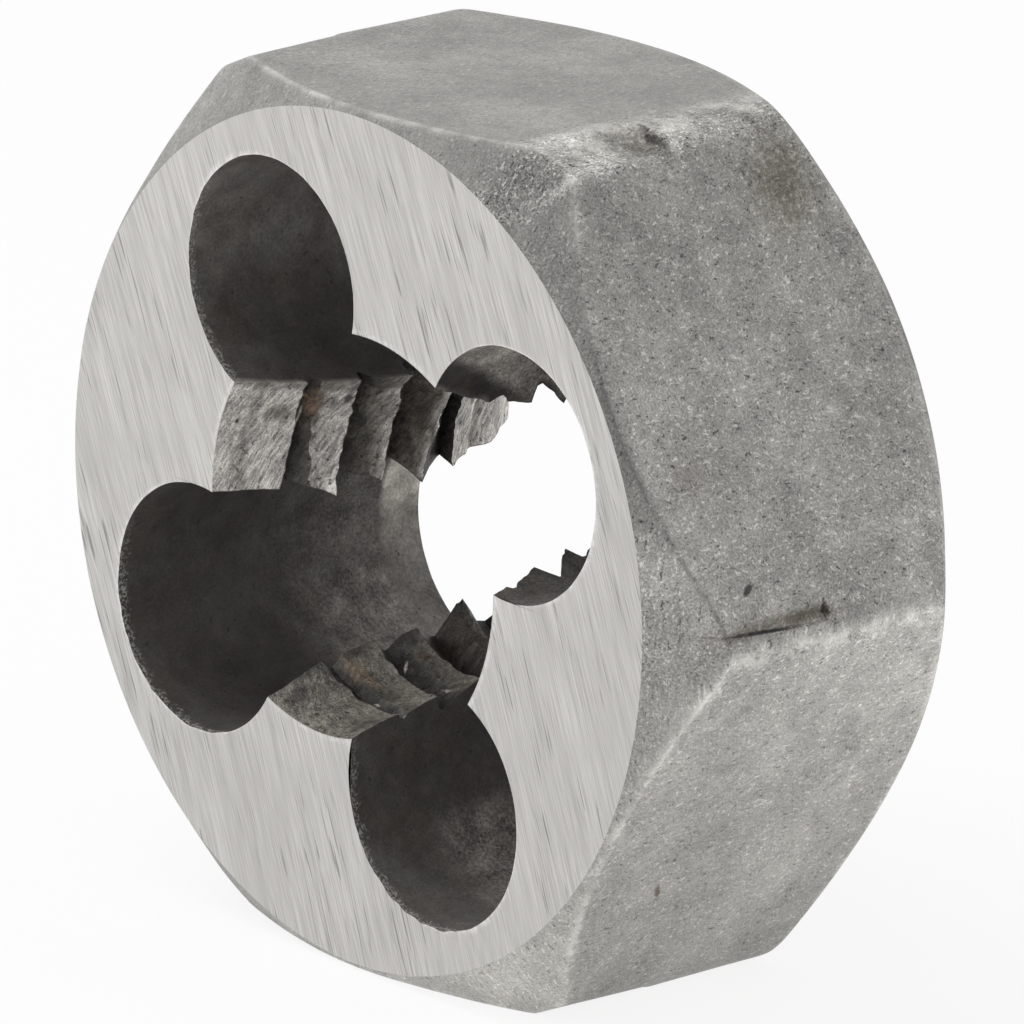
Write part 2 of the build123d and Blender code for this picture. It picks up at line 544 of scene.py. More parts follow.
@dataclass
class InnerWall:
    """Walls of the bore: clearance holes and lands in turn, in rows that run from face to face.

    The rows are counted for each crest, for the three spans of a groove, and for those of a
    groove that may be blank. Tears, swells and chips roughen the lands and the ragged layers
    their edges, but for a calm rim at each face; drill marks and rim chips roughen the holes.
    A hole's edge is looked for over the edge turns: from one, to another, in a number of steps.
    The groove's shade, the crest's back highlight, the heel's shade and the lead's highlight are
    factors of grey: painted shade deep in each groove, a painted highlight on each crest's back
    edge, painted shade along the heel's rim and a painted highlight along the lead's rim.
    """

    thickness: float
    hole_count: int = 4
    hole_radius: float = 4.6
    hole_circle: float = 9.67375
    hole_start: float = 27.8
    hole_columns: int = 66
    land_columns: int = 60
    thread: Thread = field(default_factory=Thread)
    lands: tuple[Land, ...] = LANDS
    crest_rows: tuple[int, ...] = (8, 11, 9, 8, 8, 7, 6, 5)
    blank_rows: tuple[int, ...] = (1, 1, 1)
    groove_rows: tuple[int, ...] = (3, 2, 4)
    last_share: float = 0.97
    land_ease: float = 0.4
    edge_turns: tuple[float, float, int] = (110.0, 170.0, 481)
    calm_rim: float = 0.4
    looks: tuple[HoleLook, ...] = HOLE_LOOKS
    tears: Rough = Rough(0.036, 0.26, 5, around=0.35, lean=0.32)
    swells: Rough = Rough(0.040, 0.62, 6)
    chips: Rough = Rough(0.34, 0.45, 7, along=0.8)
    chip_start: float = 0.25
    ragged: tuple[Rough, ...] = (Rough(0.095, 0.36, 8, along=0.7), Rough(0.050, 0.17, 9, along=0.7))
    drill_marks: Rough = Rough(0.012, 0.5, 11, around=0.08, along=0.5)
    rim_chips: Rough = Rough(0.06, 0.31, 12, around=0.08)
    rim_chip_depth: float = 0.35
    lip_depth: float = 1.4
    land_field: float = 3.7
    # Factors of painted light and shade on the lands: shade deep in each groove, a highlight on each
    # crest's back edge, shade along the heel's rim and a highlight along the lead's.
    groove_shade: Span = (0.9, 0.8)
    groove_reached: float = 1.2
    crest_back_highlight: float = 1.10
    heel_shade: float = 0.25
    heel_rim: Span = (0.07, -0.01)
    lead_highlight: float = 0.06
    lead_rim: Span = (0.95, 1.0)

    def __post_init__(self) -> None:
        """Works out the rows: which span of the profile each lies on, and how far along.

        A span's last row lies just before the next corner, which keeps the corner crisp.
        """
        spans, shares = [], []
        counts = [self.crest_rows[0]]
        for number in range(GROOVES):
            counts.extend(self.blank_rows if number in (0, GROOVES - 1) else self.groove_rows)
            counts.append(self.crest_rows[number + 1])
        for span, count in enumerate(counts):
            spans.extend([span] * count)
            shares.extend(np.linspace(0.0, self.last_share, count))
        self.spans = np.array(spans + [len(counts) - 1])
        self.shares = np.array(shares + [1.0])
        self.edge_rows = [
            tuple(self.rows_on(self.thread.profile(land, lead, self.thickness)) for lead in (False, True))
            for land in self.lands
        ]

    @property
    def land_pitch(self) -> float:
        """Turn from one hole to the next."""
        return 360.0 / self.hole_count

    def hole_angle(self, index: int) -> float:
        """Direction of a hole's centre."""
        return self.hole_start + index * self.land_pitch

    def rows_on(self, profile: np.ndarray) -> np.ndarray:
        """Depth and radius of each row on a profile's straight lines."""
        share = self.shares[:, None]
        return profile[self.spans] * (1.0 - share) + profile[self.spans + 1] * share

    def land_wall(self, index: int, angle: np.ndarray) -> tuple[np.ndarray, np.ndarray]:
        """Depth and radius of a land, roughened by tear marks, lumps and chipped crests.

        Rows are blended between the heel's and the lead's, and moved by the bow's parabola.
        Tear marks are noise stretched along the cut, which leans with the thread; chips are the
        peaks of another noise, deepest at the crests. Two more noises make each edge ragged.

        Args:
            index: which land.
            angle: direction of each point, rows by columns.

        Returns:
            Depth and radius of each point.
        """
        land = self.lands[index]
        heel, lead = self.edge_rows[index]
        share = land.share(angle)
        bow = heel[:, 2:] * land.bow * np.clip(4.0 * share * (1.0 - share), 0.0, 1.0)
        depth = heel[:, :1] * (1.0 - share) + lead[:, :1] * share + bow
        plain = heel[:, 1:2] * (1.0 - share) + lead[:, 1:2] * share
        arc = np.radians(angle) * self.thread.major_radius
        field_at = self.land_field * index
        tears, swells, chips = (
            layer.on_wall(arc, depth, field_at) for layer in (self.tears, self.swells, self.chips)
        )
        height = np.clip((self.thread.major_radius - plain) / self.thread.depth, 0.0, 1.0)
        inside = smoothstep(0.0, self.calm_rim, depth)
        inside = inside * smoothstep(0.0, self.calm_rim, self.thickness - depth)
        moved = sum(layer.height * layer.on_wall(arc, depth, field_at) for layer in self.ragged)
        depth = depth + inside * moved
        shift = self.tears.height * tears + self.swells.height * swells
        shift = shift + self.chips.height * np.maximum(0.0, chips - self.chip_start) * height
        for lump in land.lumps:
            shift = shift - lump.lift(angle, depth)
        return depth, plain + inside * shift

    def hole_edge(self, index: int, side: int) -> tuple[np.ndarray, np.ndarray, np.ndarray]:
        """Where a hole's wall meets the land beside it, on every row.

        The hole's circle is followed from its far side inwards, and the edge is the first point
        whose distance from the thread's axis is less than the land's radius there.

        Args:
            index: which hole.
            side: 1 for the land after it, -1 for the land before it.

        Returns:
            For each row: turn about the hole's centre, direction from the axis, and depth.
        """
        land = index if side > 0 else (index - 1) % self.hole_count
        turn = np.linspace(*self.edge_turns)
        x = self.hole_circle + self.hole_radius * np.cos(np.radians(turn))
        y = self.hole_radius * np.sin(np.radians(turn))
        reach = np.hypot(x, y)
        angle = self.hole_angle(index) + side * np.degrees(np.arctan2(y, x))
        around = np.broadcast_to(angle, (len(self.spans), angle.size))
        depth, wall = self.land_wall(land, around)
        first = np.argmax(reach[None, :] < wall, axis=1)
        rows = np.arange(len(first))
        gap = reach[None, :] - wall
        before, after = gap[rows, first - 1], gap[rows, first]
        share = before / (before - after)
        turn_at = turn[first - 1] + share * (turn[first] - turn[first - 1])
        depth_at = depth[rows, first - 1] * (1.0 - share) + depth[rows, first] * share
        return side * turn_at, np.interp(turn_at, turn, angle), depth_at

    def grid(self) -> dict[str, np.ndarray]:
        """Whole wall, as rows from face to face by columns round the axis.

        A hole's columns are evenly spaced turns about its centre, between its two edges; a
        land's are directions between the edges of the holes on either side.

        Returns:
            Points, whether a column is on a land, and the fields for tone, lip and grit.
        """
        edges = {(i, s): self.hole_edge(i, s) for i in range(self.hole_count) for s in (-1, 1)}
        points, lands, tones, lips, grits = [], [], [], [], []
        for index in range(self.hole_count):
            low_turn, _, low_depth = edges[index, -1]
            high_turn, high_angle, high_depth = edges[index, 1]
            share = np.linspace(0.0, 1.0, self.hole_columns, endpoint=False)[None, :]
            turn = low_turn[:, None] + (high_turn - low_turn)[:, None] * share
            blend = smoothstep(0.0, 1.0, share)
            depth = low_depth[:, None] * (1.0 - blend) + high_depth[:, None] * blend
            middle = math.radians(self.hole_angle(index))
            about = middle + np.radians(turn)
            look = self.looks[index]
            lip = sum(fade.at(turn, depth) for fade in look.lip)
            chipped = lip * np.exp(-(depth / self.rim_chip_depth) ** 2)
            uneven = (
                self.drill_marks.height * self.drill_marks.on_wall(turn, depth, index)
                + self.rim_chips.height * self.rim_chips.on_wall(turn, depth, index) * chipped
            )
            reach = self.hole_radius + uneven * np.sin(np.pi * share) ** 0.5
            x = self.hole_circle * math.cos(middle) + reach * np.cos(about)
            y = self.hole_circle * math.sin(middle) + reach * np.sin(about)
            points.append(np.stack([x, y, depth], -1))
            lands.append(np.zeros(self.hole_columns, dtype=bool))
            tones.append(sum(fade.at(turn, depth) for fade in look.tone))
            lips.append(lip * (depth < self.lip_depth))
            grits.append(sum(fade.at(turn, depth) for fade in look.grit))

            _, end_angle, _ = edges[(index + 1) % self.hole_count, -1]
            end_angle = high_angle + (end_angle - high_angle) % 360.0
            even = np.linspace(0.0, 1.0, self.land_columns, endpoint=False)
            eased = 0.5 - 0.5 * np.cos(math.pi * even)
            share = ((1.0 - self.land_ease) * even + self.land_ease * eased)[None, :]
            angle = high_angle[:, None] + (end_angle - high_angle)[:, None] * share
            depth, radius = self.land_wall(index, angle)
            x, y = radius * np.cos(np.radians(angle)), radius * np.sin(np.radians(angle))
            points.append(np.stack([x, y, depth], -1))
            lands.append(np.ones(self.land_columns, dtype=bool))
            tones.append(self.land_fields(index, angle, depth))
            lips.append(np.zeros(depth.shape))
            grits.append(np.ones(depth.shape))
        return {
            "points": np.concatenate(points, axis=1),
            "land": np.concatenate(lands),
            "tone": np.concatenate(tones, axis=1),
            "lip": np.concatenate(lips, axis=1),
            "grit": np.concatenate(grits, axis=1),
        }

    def land_fields(self, index: int, angle: np.ndarray, depth: np.ndarray) -> np.ndarray:
        """Grey of a land: each crest lighter towards its back edge, and the heel's rim darker.

        Args:
            index: which land.
            angle: direction of each point, rows by columns.
            depth: distance from the entry face.

        Returns:
            Grey at each point.
        """
        land = self.lands[index]
        # Painted light and shade: grooves darker for their shade, each crest lighter towards its back edge
        # as a painted highlight, the heel's rim darker as painted shade and the lead's rim lighter as a
        # painted highlight.
        low, high = [land.crests[0]], [land.crests[0]]
        for number in range(GROOVES):
            groove, crest = land.grooves[number], land.crests[number + 1]
            start = land.starts[number + 1]
            reached = groove + (crest * start - groove) * self.groove_reached * (1.0 - start)
            low.extend([groove, groove * self.groove_shade[0], groove * self.groove_shade[1], crest * start])
            high.extend([groove, groove * self.groove_shade[1], reached, crest * self.crest_back_highlight])
        low, high = np.array(low)[self.spans], np.array(high)[self.spans]
        by_row = (low + (high - low) * self.shares)[:, None]
        share = land.share(angle)
        heel = self.heel_shade * smoothstep(*self.heel_rim, share)
        lead = self.lead_highlight * smoothstep(*self.lead_rim, share)
        return by_row * (1.0 - heel + lead)


@dataclass
class Outside:
    """Hexagon with rounded corners, a chamfer at each face, and shallow cuts on its corners.

    The rows are shares of each span of depth, from face to face. Density and its middle and
    width gather the columns at the corners. Blends are the spans of depth, from a chamfer's
    edge, over which one look turns into the next. Knots are values at directions: greys of the
    flats and the chamfers, with painted light and shade for the way each side faces the light;
    worn edge and painted highlight along the front edge, darker on part of it, and its width;
    ridges worn light down the corners; and how strong the grain is.
    """

    thickness: float
    apothem: float = APOTHEM
    corner_radius: float = 2.2
    front_inset: float = 0.22
    front_angle: float = 40.0
    back_inset: float = 0.30
    back_angle: float = 42.0
    edge_round: float = 0.12
    least_round: float = 0.02
    edge_waves: Rough = Rough(0.35, 1.3, 21)
    back_round: float = 0.2
    calm_rim: float = 0.5
    floor_round: float = 0.05
    floor_round_start: float = 5.0
    step_run: float = 0.07
    waves: tuple[Rough, ...] = (Rough(0.014, 3.1, 22), Rough(0.006, 1.1, 23))
    corner_density: float = 2.2
    density_middle: float = 1.2
    density_width: float = 4.0
    hole_spread: float = 29.0
    wall_width: float = 0.07
    wall_follow: float = 2.0
    cut_reach: float = 30.0
    plane_reach: float = 60.0
    rim_steps: int = 721
    front_blend: Span = (-0.05, 0.10)
    back_blend: Span = (-0.12, 0.05)
    ridge_blend: Span = (-0.2, 0.3)
    edge_behind: float = 0.05
    back_edge_wear: float = 0.6
    back_edge_width: float = 0.18
    no_wear: float = 0.05
    # Painted light from below: the sides below corner 0 grow paler from 3 to 12 mm deep.
    painted_bounce_light: Fade = Fade(0.06, turns=((-1.0, -4.0),), depths=((3.0, 12.0),))
    chamfer_rows: tuple[float, ...] = (0.0, 0.25, 0.5, 0.72, 0.87, 0.95)
    front_rows: tuple[float, ...] = (
        0.0, 0.018, 0.045, 0.09, 0.16, 0.25, 0.34, 0.43, 0.52, 0.61, 0.70, 0.79, 0.86, 0.91, 0.95, 0.98,
    )
    step_rows: tuple[float, ...] = (0.0, 0.025, 0.05, 0.08)
    back_rows: tuple[float, ...] = (0.03, 0.10, 0.20, 0.31, 0.42, 0.53, 0.64, 0.74, 0.83, 0.90, 0.95, 0.98)
    end_rows: tuple[float, ...] = (0.0, 0.06, 0.18, 0.4, 0.7, 1.0)
    cuts: tuple[CornerCut, ...] = (
        CornerCut(0.0, 17.0, depth=0.14, taper=0.8, wall=(2.0, 0.85),
                  scoop=Scoop((1.6, 0.7), (1.9, 3.1), 0.30, 0.24)),
        CornerCut(60.0, 14.0, bulge=0.35, shift=-0.2, fade=0.6,
                  scoop=Scoop((-2.3, -2.4), (1.8, 5.2), 0.5, 0.34)),
        CornerCut(120.0, -6.0, taper=0.75),
        CornerCut(180.0, 10.0, taper=0.3),
        CornerCut(240.0, 12.0, taper=0.3),
        CornerCut(300.0, -5.0, depth=0.20, taper=0.8),
    )

    # Greys by direction, with painted light and shade: the sides facing down and to the right are lighter,
    # as if lit from below, and those facing up and to the right darker.
    flat_tones: Knots = (
        (-60, 0.62), (-45, 0.64), (-30, 0.68), (-4, 0.71), (2, 0.58), (15, 0.575), (30, 0.585), (45, 0.555),
        (52, 0.53), (58, 0.54), (62, 0.53), (75, 0.53), (90, 0.54), (118, 0.54), (150, 0.57), (240, 0.60),
    )
    chamfer_tones: Knots = (
        (-60, 0.72), (-30, 0.66), (-10, 0.62), (0, 0.62), (10, 0.60), (20, 0.48), (30, 0.44), (40, 0.46),
        (50, 0.475), (60, 0.46), (75, 0.46), (90, 0.51), (120, 0.52), (132, 0.56), (142, 0.62), (152, 0.68),
        (165, 0.68), (180, 0.60), (240, 0.60),
    )
    # Worn edge and painted highlight along the front chamfer's edge, where its rounding catches the light
    # from above; negative values paint a darker line.
    edge_wear_and_highlight: Knots = (
        (-60, 0.8), (-4, 0.9), (-1, 0.4), (2, -0.8), (12, -0.9), (18, -1.2), (30, -1.1), (37, -0.5),
        (41, 0.4), (60, 0.8), (75, 1.0), (90, 1.3), (110, 1.2), (120, 0.8), (180, 0.6), (240, 0.6),
    )
    ridges: Knots = (
        (-63, 0.0), (-61, 0.7), (-58.5, 0.0), (-3.4, 0.0), (-1.2, 0.9), (0.8, 0.0), (57.5, 0.0), (59, 0.3),
        (61.8, 1.0), (64.8, 0.8), (67.5, 0.0), (117, 0.0), (120, 0.5), (123, 0.0), (177, 0.0), (180, 0.5),
        (183, 0.0), (237, 0.0), (240, 0.5), (243, 0.0),
    )
    grits: Knots = (
        (-60, 0.72), (-8, 0.80), (0, 1.1), (30, 1.0), (57, 1.1), (60, 2.1), (63, 2.0), (68, 0.65),
        (90, 0.6), (120, 0.7), (240, 0.8),
    )
    edge_widths: Knots = ((-60, 0.19), (-3, 0.19), (0, 0.08), (38, 0.08), (44, 0.16), (120, 0.12))

    @property
    def corner_centre(self) -> float:
        """Distance from the axis to the centre of a corner's circle."""
        return (self.apothem - self.corner_radius) / math.cos(math.pi / 6)

    def hexagon(self, angle: np.ndarray) -> np.ndarray:
        """Radius of the hexagon with rounded corners.

        A flat is apothem / cos(turn from its middle); a corner is the circle of corner_radius
        whose centre lies on the corner's direction.
        """
        turn = np.radians(turn_between(angle * 6.0, 0.0) / 6.0)
        flat = self.apothem / np.cos(math.pi / 6 - np.abs(turn))
        centre = self.corner_centre
        reach = self.corner_radius ** 2 - (centre * np.sin(turn)) ** 2
        rounded = centre * np.cos(turn) + np.sqrt(np.maximum(reach, 0.0))
        limit = math.atan2(self.corner_radius / 2, centre + self.corner_radius * math.cos(math.pi / 6))
        return np.where(np.abs(turn) < limit, rounded, flat)

    def angles(self, wall: InnerWall) -> np.ndarray:
        """Direction of each column at the rim, closer together at the six corners.

        Each hole's columns take a share of the rim and each land's the rest; within those the
        directions follow the inverse of a running sum of the wanted density. Two columns are
        then moved to the head and the foot of each corner cut's side wall.
        """
        spread = self.hole_spread
        parts = []
        for index in range(wall.hole_count):
            middle = wall.hole_angle(index)
            bounds = (middle - spread, middle + spread, middle + wall.land_pitch - spread)
            for low, high, count in zip(bounds[:-1], bounds[1:], (wall.hole_columns, wall.land_columns)):
                fine = np.linspace(low, high, self.rim_steps)
                off = turn_between(fine * 6.0, 0.0) / 6.0 - self.density_middle
                density = 1.0 + self.corner_density * np.exp(-(off / self.density_width) ** 2)
                total = np.concatenate(([0.0], np.cumsum(0.5 * (density[1:] + density[:-1]))))
                parts.append(np.interp(np.linspace(0.0, total[-1], count, endpoint=False), total, fine))
        angles = np.concatenate(parts)
        for cut in (cut for cut in self.cuts if cut.wall):
            head = cut.corner + cut.wall[0] - self.wall_width
            start = np.argmin(np.abs(turn_between(angles, head)))
            angles[start] += turn_between(head, angles[start])
            angles[start + 1] = angles[start] + 2 * self.wall_width
        return angles

    def radius(self, angle: np.ndarray, depth: np.ndarray) -> np.ndarray:
        """Radius of the outside: hexagon, cones and corner cuts, with worn edges.

        The smaller of the hexagon and the two chamfer cones, rounded where they cross, is cut
        by each corner's plane down to its step; smooth noise then lowers it a little.

        Args:
            angle: direction of each point.
            depth: its distance from the entry face.

        Returns:
            Radius at each point.
        """
        front = self.apothem - self.front_inset + depth / slope(self.front_angle)
        back = self.apothem - self.back_inset + (self.thickness - depth) / slope(self.back_angle)
        block = self.hexagon(angle)
        for cut in self.cuts:
            turn = turn_between(angle, cut.corner)
            sunk = cut.depth * (1.0 - cut.taper * np.clip(depth / cut.length, 0.0, 1.0))
            reach = self.corner_centre * math.cos(math.radians(cut.turn)) + self.corner_radius - sunk
            off = np.clip(turn - cut.turn, -self.plane_reach, self.plane_reach)
            plane = reach / np.cos(np.radians(off))
            end = cut.length + cut.behind(turn)
            active = 1.0 - smoothstep(end - cut.fade, end + self.step_run, depth)
            active = active * (np.abs(turn) < self.cut_reach)
            lowered = soft_min(block, plane, self.floor_round)
            if cut.wall:
                within = (turn - cut.wall_at(depth)) / (2 * self.wall_width) + 0.5
                active = active * np.clip(within, 0.0, 1.0)
                near = turn <= cut.wall[0] + self.floor_round_start
                lowered = np.where(near, np.minimum(block, plane), lowered)
            if cut.scoop:
                lowered = lowered - cut.scoop.lowering(turn, depth, cut.length)
            block = block + (lowered - block) * active
        x, z = self.apothem * np.cos(np.radians(angle)), self.apothem * np.sin(np.radians(angle))
        where = np.stack([x, z, depth], -1)
        worn = self.edge_round * (1.0 + self.edge_waves.height * self.edge_waves.at(where))
        rim = smoothstep(0.0, self.calm_rim, depth)
        shape = soft_min(soft_min(block, front, worn * rim + self.least_round), back, self.back_round)
        sunk = sum(layer.height * (layer.at(where) - 1.0) for layer in self.waves)
        return shape + rim * sunk

    def grid(self, angle: np.ndarray) -> dict[str, np.ndarray]:
        """Outside from face to face, with rows that follow the chamfers' edges and the steps.

        Args:
            angle: direction of each column.

        Returns:
            Points, and the fields for tone, for worn edges with painted highlight, and for grit, rows by
            columns.
        """
        hexagon = self.hexagon(angle)
        front_edge = (hexagon - self.apothem + self.front_inset) * slope(self.front_angle)
        back_run = (hexagon - self.apothem + self.back_inset) * slope(self.back_angle)
        back_edge = self.thickness - back_run
        step = np.full(angle.shape, self.cuts[0].length)
        for cut in self.cuts:
            turn = turn_between(angle, cut.corner)
            step = step + cut.behind(turn) * (np.abs(turn) < self.cut_reach)
        chamfer, flat_front, wall, flat_back, end = (
            np.array(rows)[:, None] for rows in
            (self.chamfer_rows, self.front_rows, self.step_rows, self.back_rows, self.end_rows)
        )
        after_wall = step + self.step_rows[-1]
        depth = np.concatenate([
            front_edge * chamfer,
            front_edge + (step - front_edge) * flat_front,
            step + wall,
            after_wall + (back_edge - after_wall) * flat_back,
            back_edge + (self.thickness - back_edge) * end,
        ])
        around = np.broadcast_to(angle, depth.shape)
        for cut in (cut for cut in self.cuts if cut.wall):
            turn = turn_between(around, cut.corner + cut.wall[0])
            follow = np.exp(-(turn / self.wall_follow) ** 2)
            around = around + (cut.wall_at(depth) - cut.wall[0]) * follow
        radius = self.radius(around, depth)
        on_front = 1.0 - smoothstep(*self.front_blend, depth - front_edge)
        on_back = smoothstep(*self.back_blend, depth - back_edge)
        x, y = radius * np.cos(np.radians(around)), radius * np.sin(np.radians(around))
        chamfer = np.maximum(on_front, on_back)
        flat_tone, chamfer_tone = self.at(self.flat_tones, angle), self.at(self.chamfer_tones, angle)
        # Worn edge with painted highlight along the front chamfer's edge, darker where negative; the back
        # edge and corner ridges worn light.
        amount = self.at(self.edge_wear_and_highlight, angle)
        width = self.at(self.edge_widths, angle)
        along = amount * np.exp(-((depth - front_edge - self.edge_behind) / width) ** 2)
        far = self.back_edge_wear * np.exp(-((depth - back_edge) / self.back_edge_width) ** 2)
        ridge = self.at(self.ridges, around) * smoothstep(*self.ridge_blend, depth - front_edge)
        painted_bounce_light = 1.0 + self.painted_bounce_light.at(np.broadcast_to(turn_between(angle, 0.0), depth.shape), depth)
        return {
            "points": np.stack([x, y, depth], -1),
            "tone": (flat_tone + (chamfer_tone - flat_tone) * chamfer) * painted_bounce_light,
            "wear_and_highlight": np.where(along < -self.no_wear, along, np.maximum(along, np.maximum(far, ridge))),
            "grit": np.broadcast_to(self.at(self.grits, angle), depth.shape),
        }

    @staticmethod
    def at(knots: Knots, angle: np.ndarray) -> np.ndarray:
        """Value at each direction, on straight lines between knots round the block."""
        places, values = zip(*knots)
        return np.interp(angle, places, values, period=360.0)


@dataclass
class HexDie:
    """The block: its outside and its inner walls, closed by a face at each end.

    The shares place the rows of each face, and the entry face has a painted highlight along the
    bore's rim, partly a worn burr.
    """

    thickness: float = THICKNESS
    front_shares: tuple[float, ...] = (0.012, 0.03, 0.07, 0.18, 0.36, 0.56, 0.76, 0.92, 0.985)
    back_shares: tuple[float, ...] = (0.015, 0.12, 0.32, 0.56, 0.8, 0.96)
    rubbed_and_highlight_width: float = 0.15
    sharp_angle: float = 30.0

    def surface(self) -> dict[str, np.ndarray]:
        """Whole skin as one closed grid: rows round the block's section, columns round its axis.

        The rows run over the entry face outwards, back along the outside, over the back face
        inwards, and forward along the inner wall to where they began.

        Returns:
            Points, rows by columns by three, the region of the faces after each row, and the
            fields that the finishes read.
        """
        wall_maker, outside = InnerWall(self.thickness), Outside(self.thickness)
        inner = wall_maker.grid()
        outer = outside.grid(outside.angles(wall_maker))
        wall, side = inner["points"], outer["points"]

        front = wall[0] + (side[0] - wall[0]) * np.array(self.front_shares)[:, None, None]
        # Painted highlight, partly a worn burr, on the entry face along the bore's rim.
        rubbed_and_highlight = np.exp(-(np.linalg.norm(front - wall[0], axis=-1) / self.rubbed_and_highlight_width) ** 2)
        back = side[-1] + (wall[-1] - side[-1]) * np.array(self.back_shares)[:, None, None]

        points = np.concatenate([wall[:1], front, side, back, wall[:0:-1]])
        bands = (
            [Region.GROUND] * (len(front) + 1)
            + [Region.BLASTED] * (len(side) - 1)
            + [Region.BACK] * (len(back) + 1)
            + [Region.SCALE] * (len(wall) - 1)
        )
        regions = np.repeat(np.array(bands)[:, None], points.shape[1], axis=1)
        inside = np.array(bands) == Region.SCALE
        regions[np.ix_(inside, inner["land"])] = Region.CUT

        def spread(sides: np.ndarray, walls: np.ndarray) -> np.ndarray:
            """Field over the whole grid, from its values on the outside and the inner wall."""
            blank = np.zeros((len(back), points.shape[1]))
            return np.concatenate([walls[:1], rubbed_and_highlight, sides, blank, walls[:0:-1]])

        return {
            "points": points,
            "regions": regions,
            "tone": spread(outer["tone"], inner["tone"]),
            "wear_and_highlight": spread(outer["wear_and_highlight"], inner["lip"]),
            "grit": spread(outer["grit"], inner["grit"]),
        }

    def build(self) -> bpy.types.Object:
        """Makes the block's mesh object, at the origin, with its place in its mesh."""
        surface = self.surface()
        points = surface["points"]
        rows, columns = points.shape[:2]
        low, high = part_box(NODE)
        centre = (Vector(low) + Vector(high)) / 2
        placed = np.stack([
            points[..., 0] * MM + centre.x,
            (points[..., 2] - self.thickness / 2) * MM + centre.y,
            points[..., 1] * MM + centre.z,
        ], -1)
        row = np.arange(rows)[:, None]
        column = np.arange(columns)[None, :]
        next_row, next_column = (row + 1) % rows, (column + 1) % columns
        quads = np.stack([
            row * columns + column,
            row * columns + next_column,
            next_row * columns + next_column,
            next_row * columns + column,
        ], -1).reshape(-1, 4)
        mesh = mesh_from_grid("hex_die_steel", placed.reshape(-1, 3), quads)
        mesh.polygons.foreach_set("material_index", surface["regions"].reshape(-1).astype(np.int32))
        for name in ("tone", "wear_and_highlight", "grit"):
            values = mesh.attributes.new(name, "FLOAT", "POINT")
            values.data.foreach_set("value", surface[name].reshape(-1).astype(np.float32))
        mesh.shade_smooth()
        mesh.set_sharp_from_angle(angle=math.radians(self.sharp_angle))
        piece = bpy.data.objects.new("die_steel_block", mesh)
        bpy.context.scene.collection.objects.link(piece)
        return piece


def mesh_from_grid(name: str, points: np.ndarray, quads: np.ndarray) -> bpy.types.Mesh:
    """Mesh of a closed grid, with its faces pointing out.

    The signed volume, the sum over the faces' triangles of a . (b x c) / 6, tells which way the
    faces point, and they are turned over where it is negative.

    Args:
        name: of the mesh.
        points: positions, one row each.
        quads: four point numbers a row.

    Returns:
        The mesh.
    """
    a, b, c, d = (points[quads[:, i]] for i in range(4))
    volume = (np.einsum("ij,ij->i", a, np.cross(b, c)) + np.einsum("ij,ij->i", a, np.cross(c, d))).sum()
    if volume < 0:
        quads = quads[:, ::-1]
    mesh = bpy.data.meshes.new(name)
    mesh.vertices.add(len(points))
    mesh.vertices.foreach_set("co", points.astype(np.float32).ravel())
    mesh.loops.add(quads.size)
    mesh.loops.foreach_set("vertex_index", quads.astype(np.int32).ravel())
    mesh.polygons.add(len(quads))
    mesh.polygons.foreach_set("loop_start", np.arange(0, quads.size, 4, dtype=np.int32))
    mesh.update(calc_edges=True)
    mesh.validate()
    return mesh


Colour = tuple[float, float, float, float]
Shade = tuple[int, int, int]
Socket = bpy.types.NodeSocket

WHITE: Colour = (1.0, 1.0, 1.0, 1.0)
GAMMA = 2.2


@dataclass(frozen=True)
class Mark:
    """Patch of another colour, such as a stain, a pit or a bright burr.

    Angle and depth give its place, at a distance from the thread's axis. Wide and long are how
    far it reaches from there round the axis and along it, and lean turns it between the two.
    Inwards is its reach towards the axis. Some marks are painted shade, some painted highlight.
    Its shade is as it looks on a screen, from 0 to 255. Soft is the share of its reach over
    which it fades, and ragged how far noise moves its outline.
    """

    angle: float
    depth: float
    wide: float
    long: float
    shade: Shade
    lean: float = 0.0
    cover: float = 0.85
    soft: float = 0.4
    ragged: float = 1.5
    radius: float = 16.6
    inwards: float = 2.0

    def axes(self) -> Matrix:
        """Rotation whose columns run round the axis, along it and inwards, turned by the lean."""
        angle, lean = math.radians(self.angle), math.radians(self.lean)
        around = Vector((-math.sin(angle), 0.0, math.cos(angle)))
        along = Vector((0.0, 1.0, 0.0))
        inward = Vector((-math.cos(angle), 0.0, -math.sin(angle)))
        first = around * math.cos(lean) + along * math.sin(lean)
        second = along * math.cos(lean) - around * math.sin(lean)
        return Matrix((first, second, inward)).transposed()

    def place(self) -> Vector:
        """Its middle, in metres."""
        angle = math.radians(self.angle)
        x, z = self.radius * math.cos(angle), self.radius * math.sin(angle) + APOTHEM
        return Vector((x, self.depth - THICKNESS / 2, z)) * MM

    def colour(self) -> Colour:
        """Its shade as an even amount of light."""
        return (*((part / 255.0) ** GAMMA for part in self.shade), 1.0)


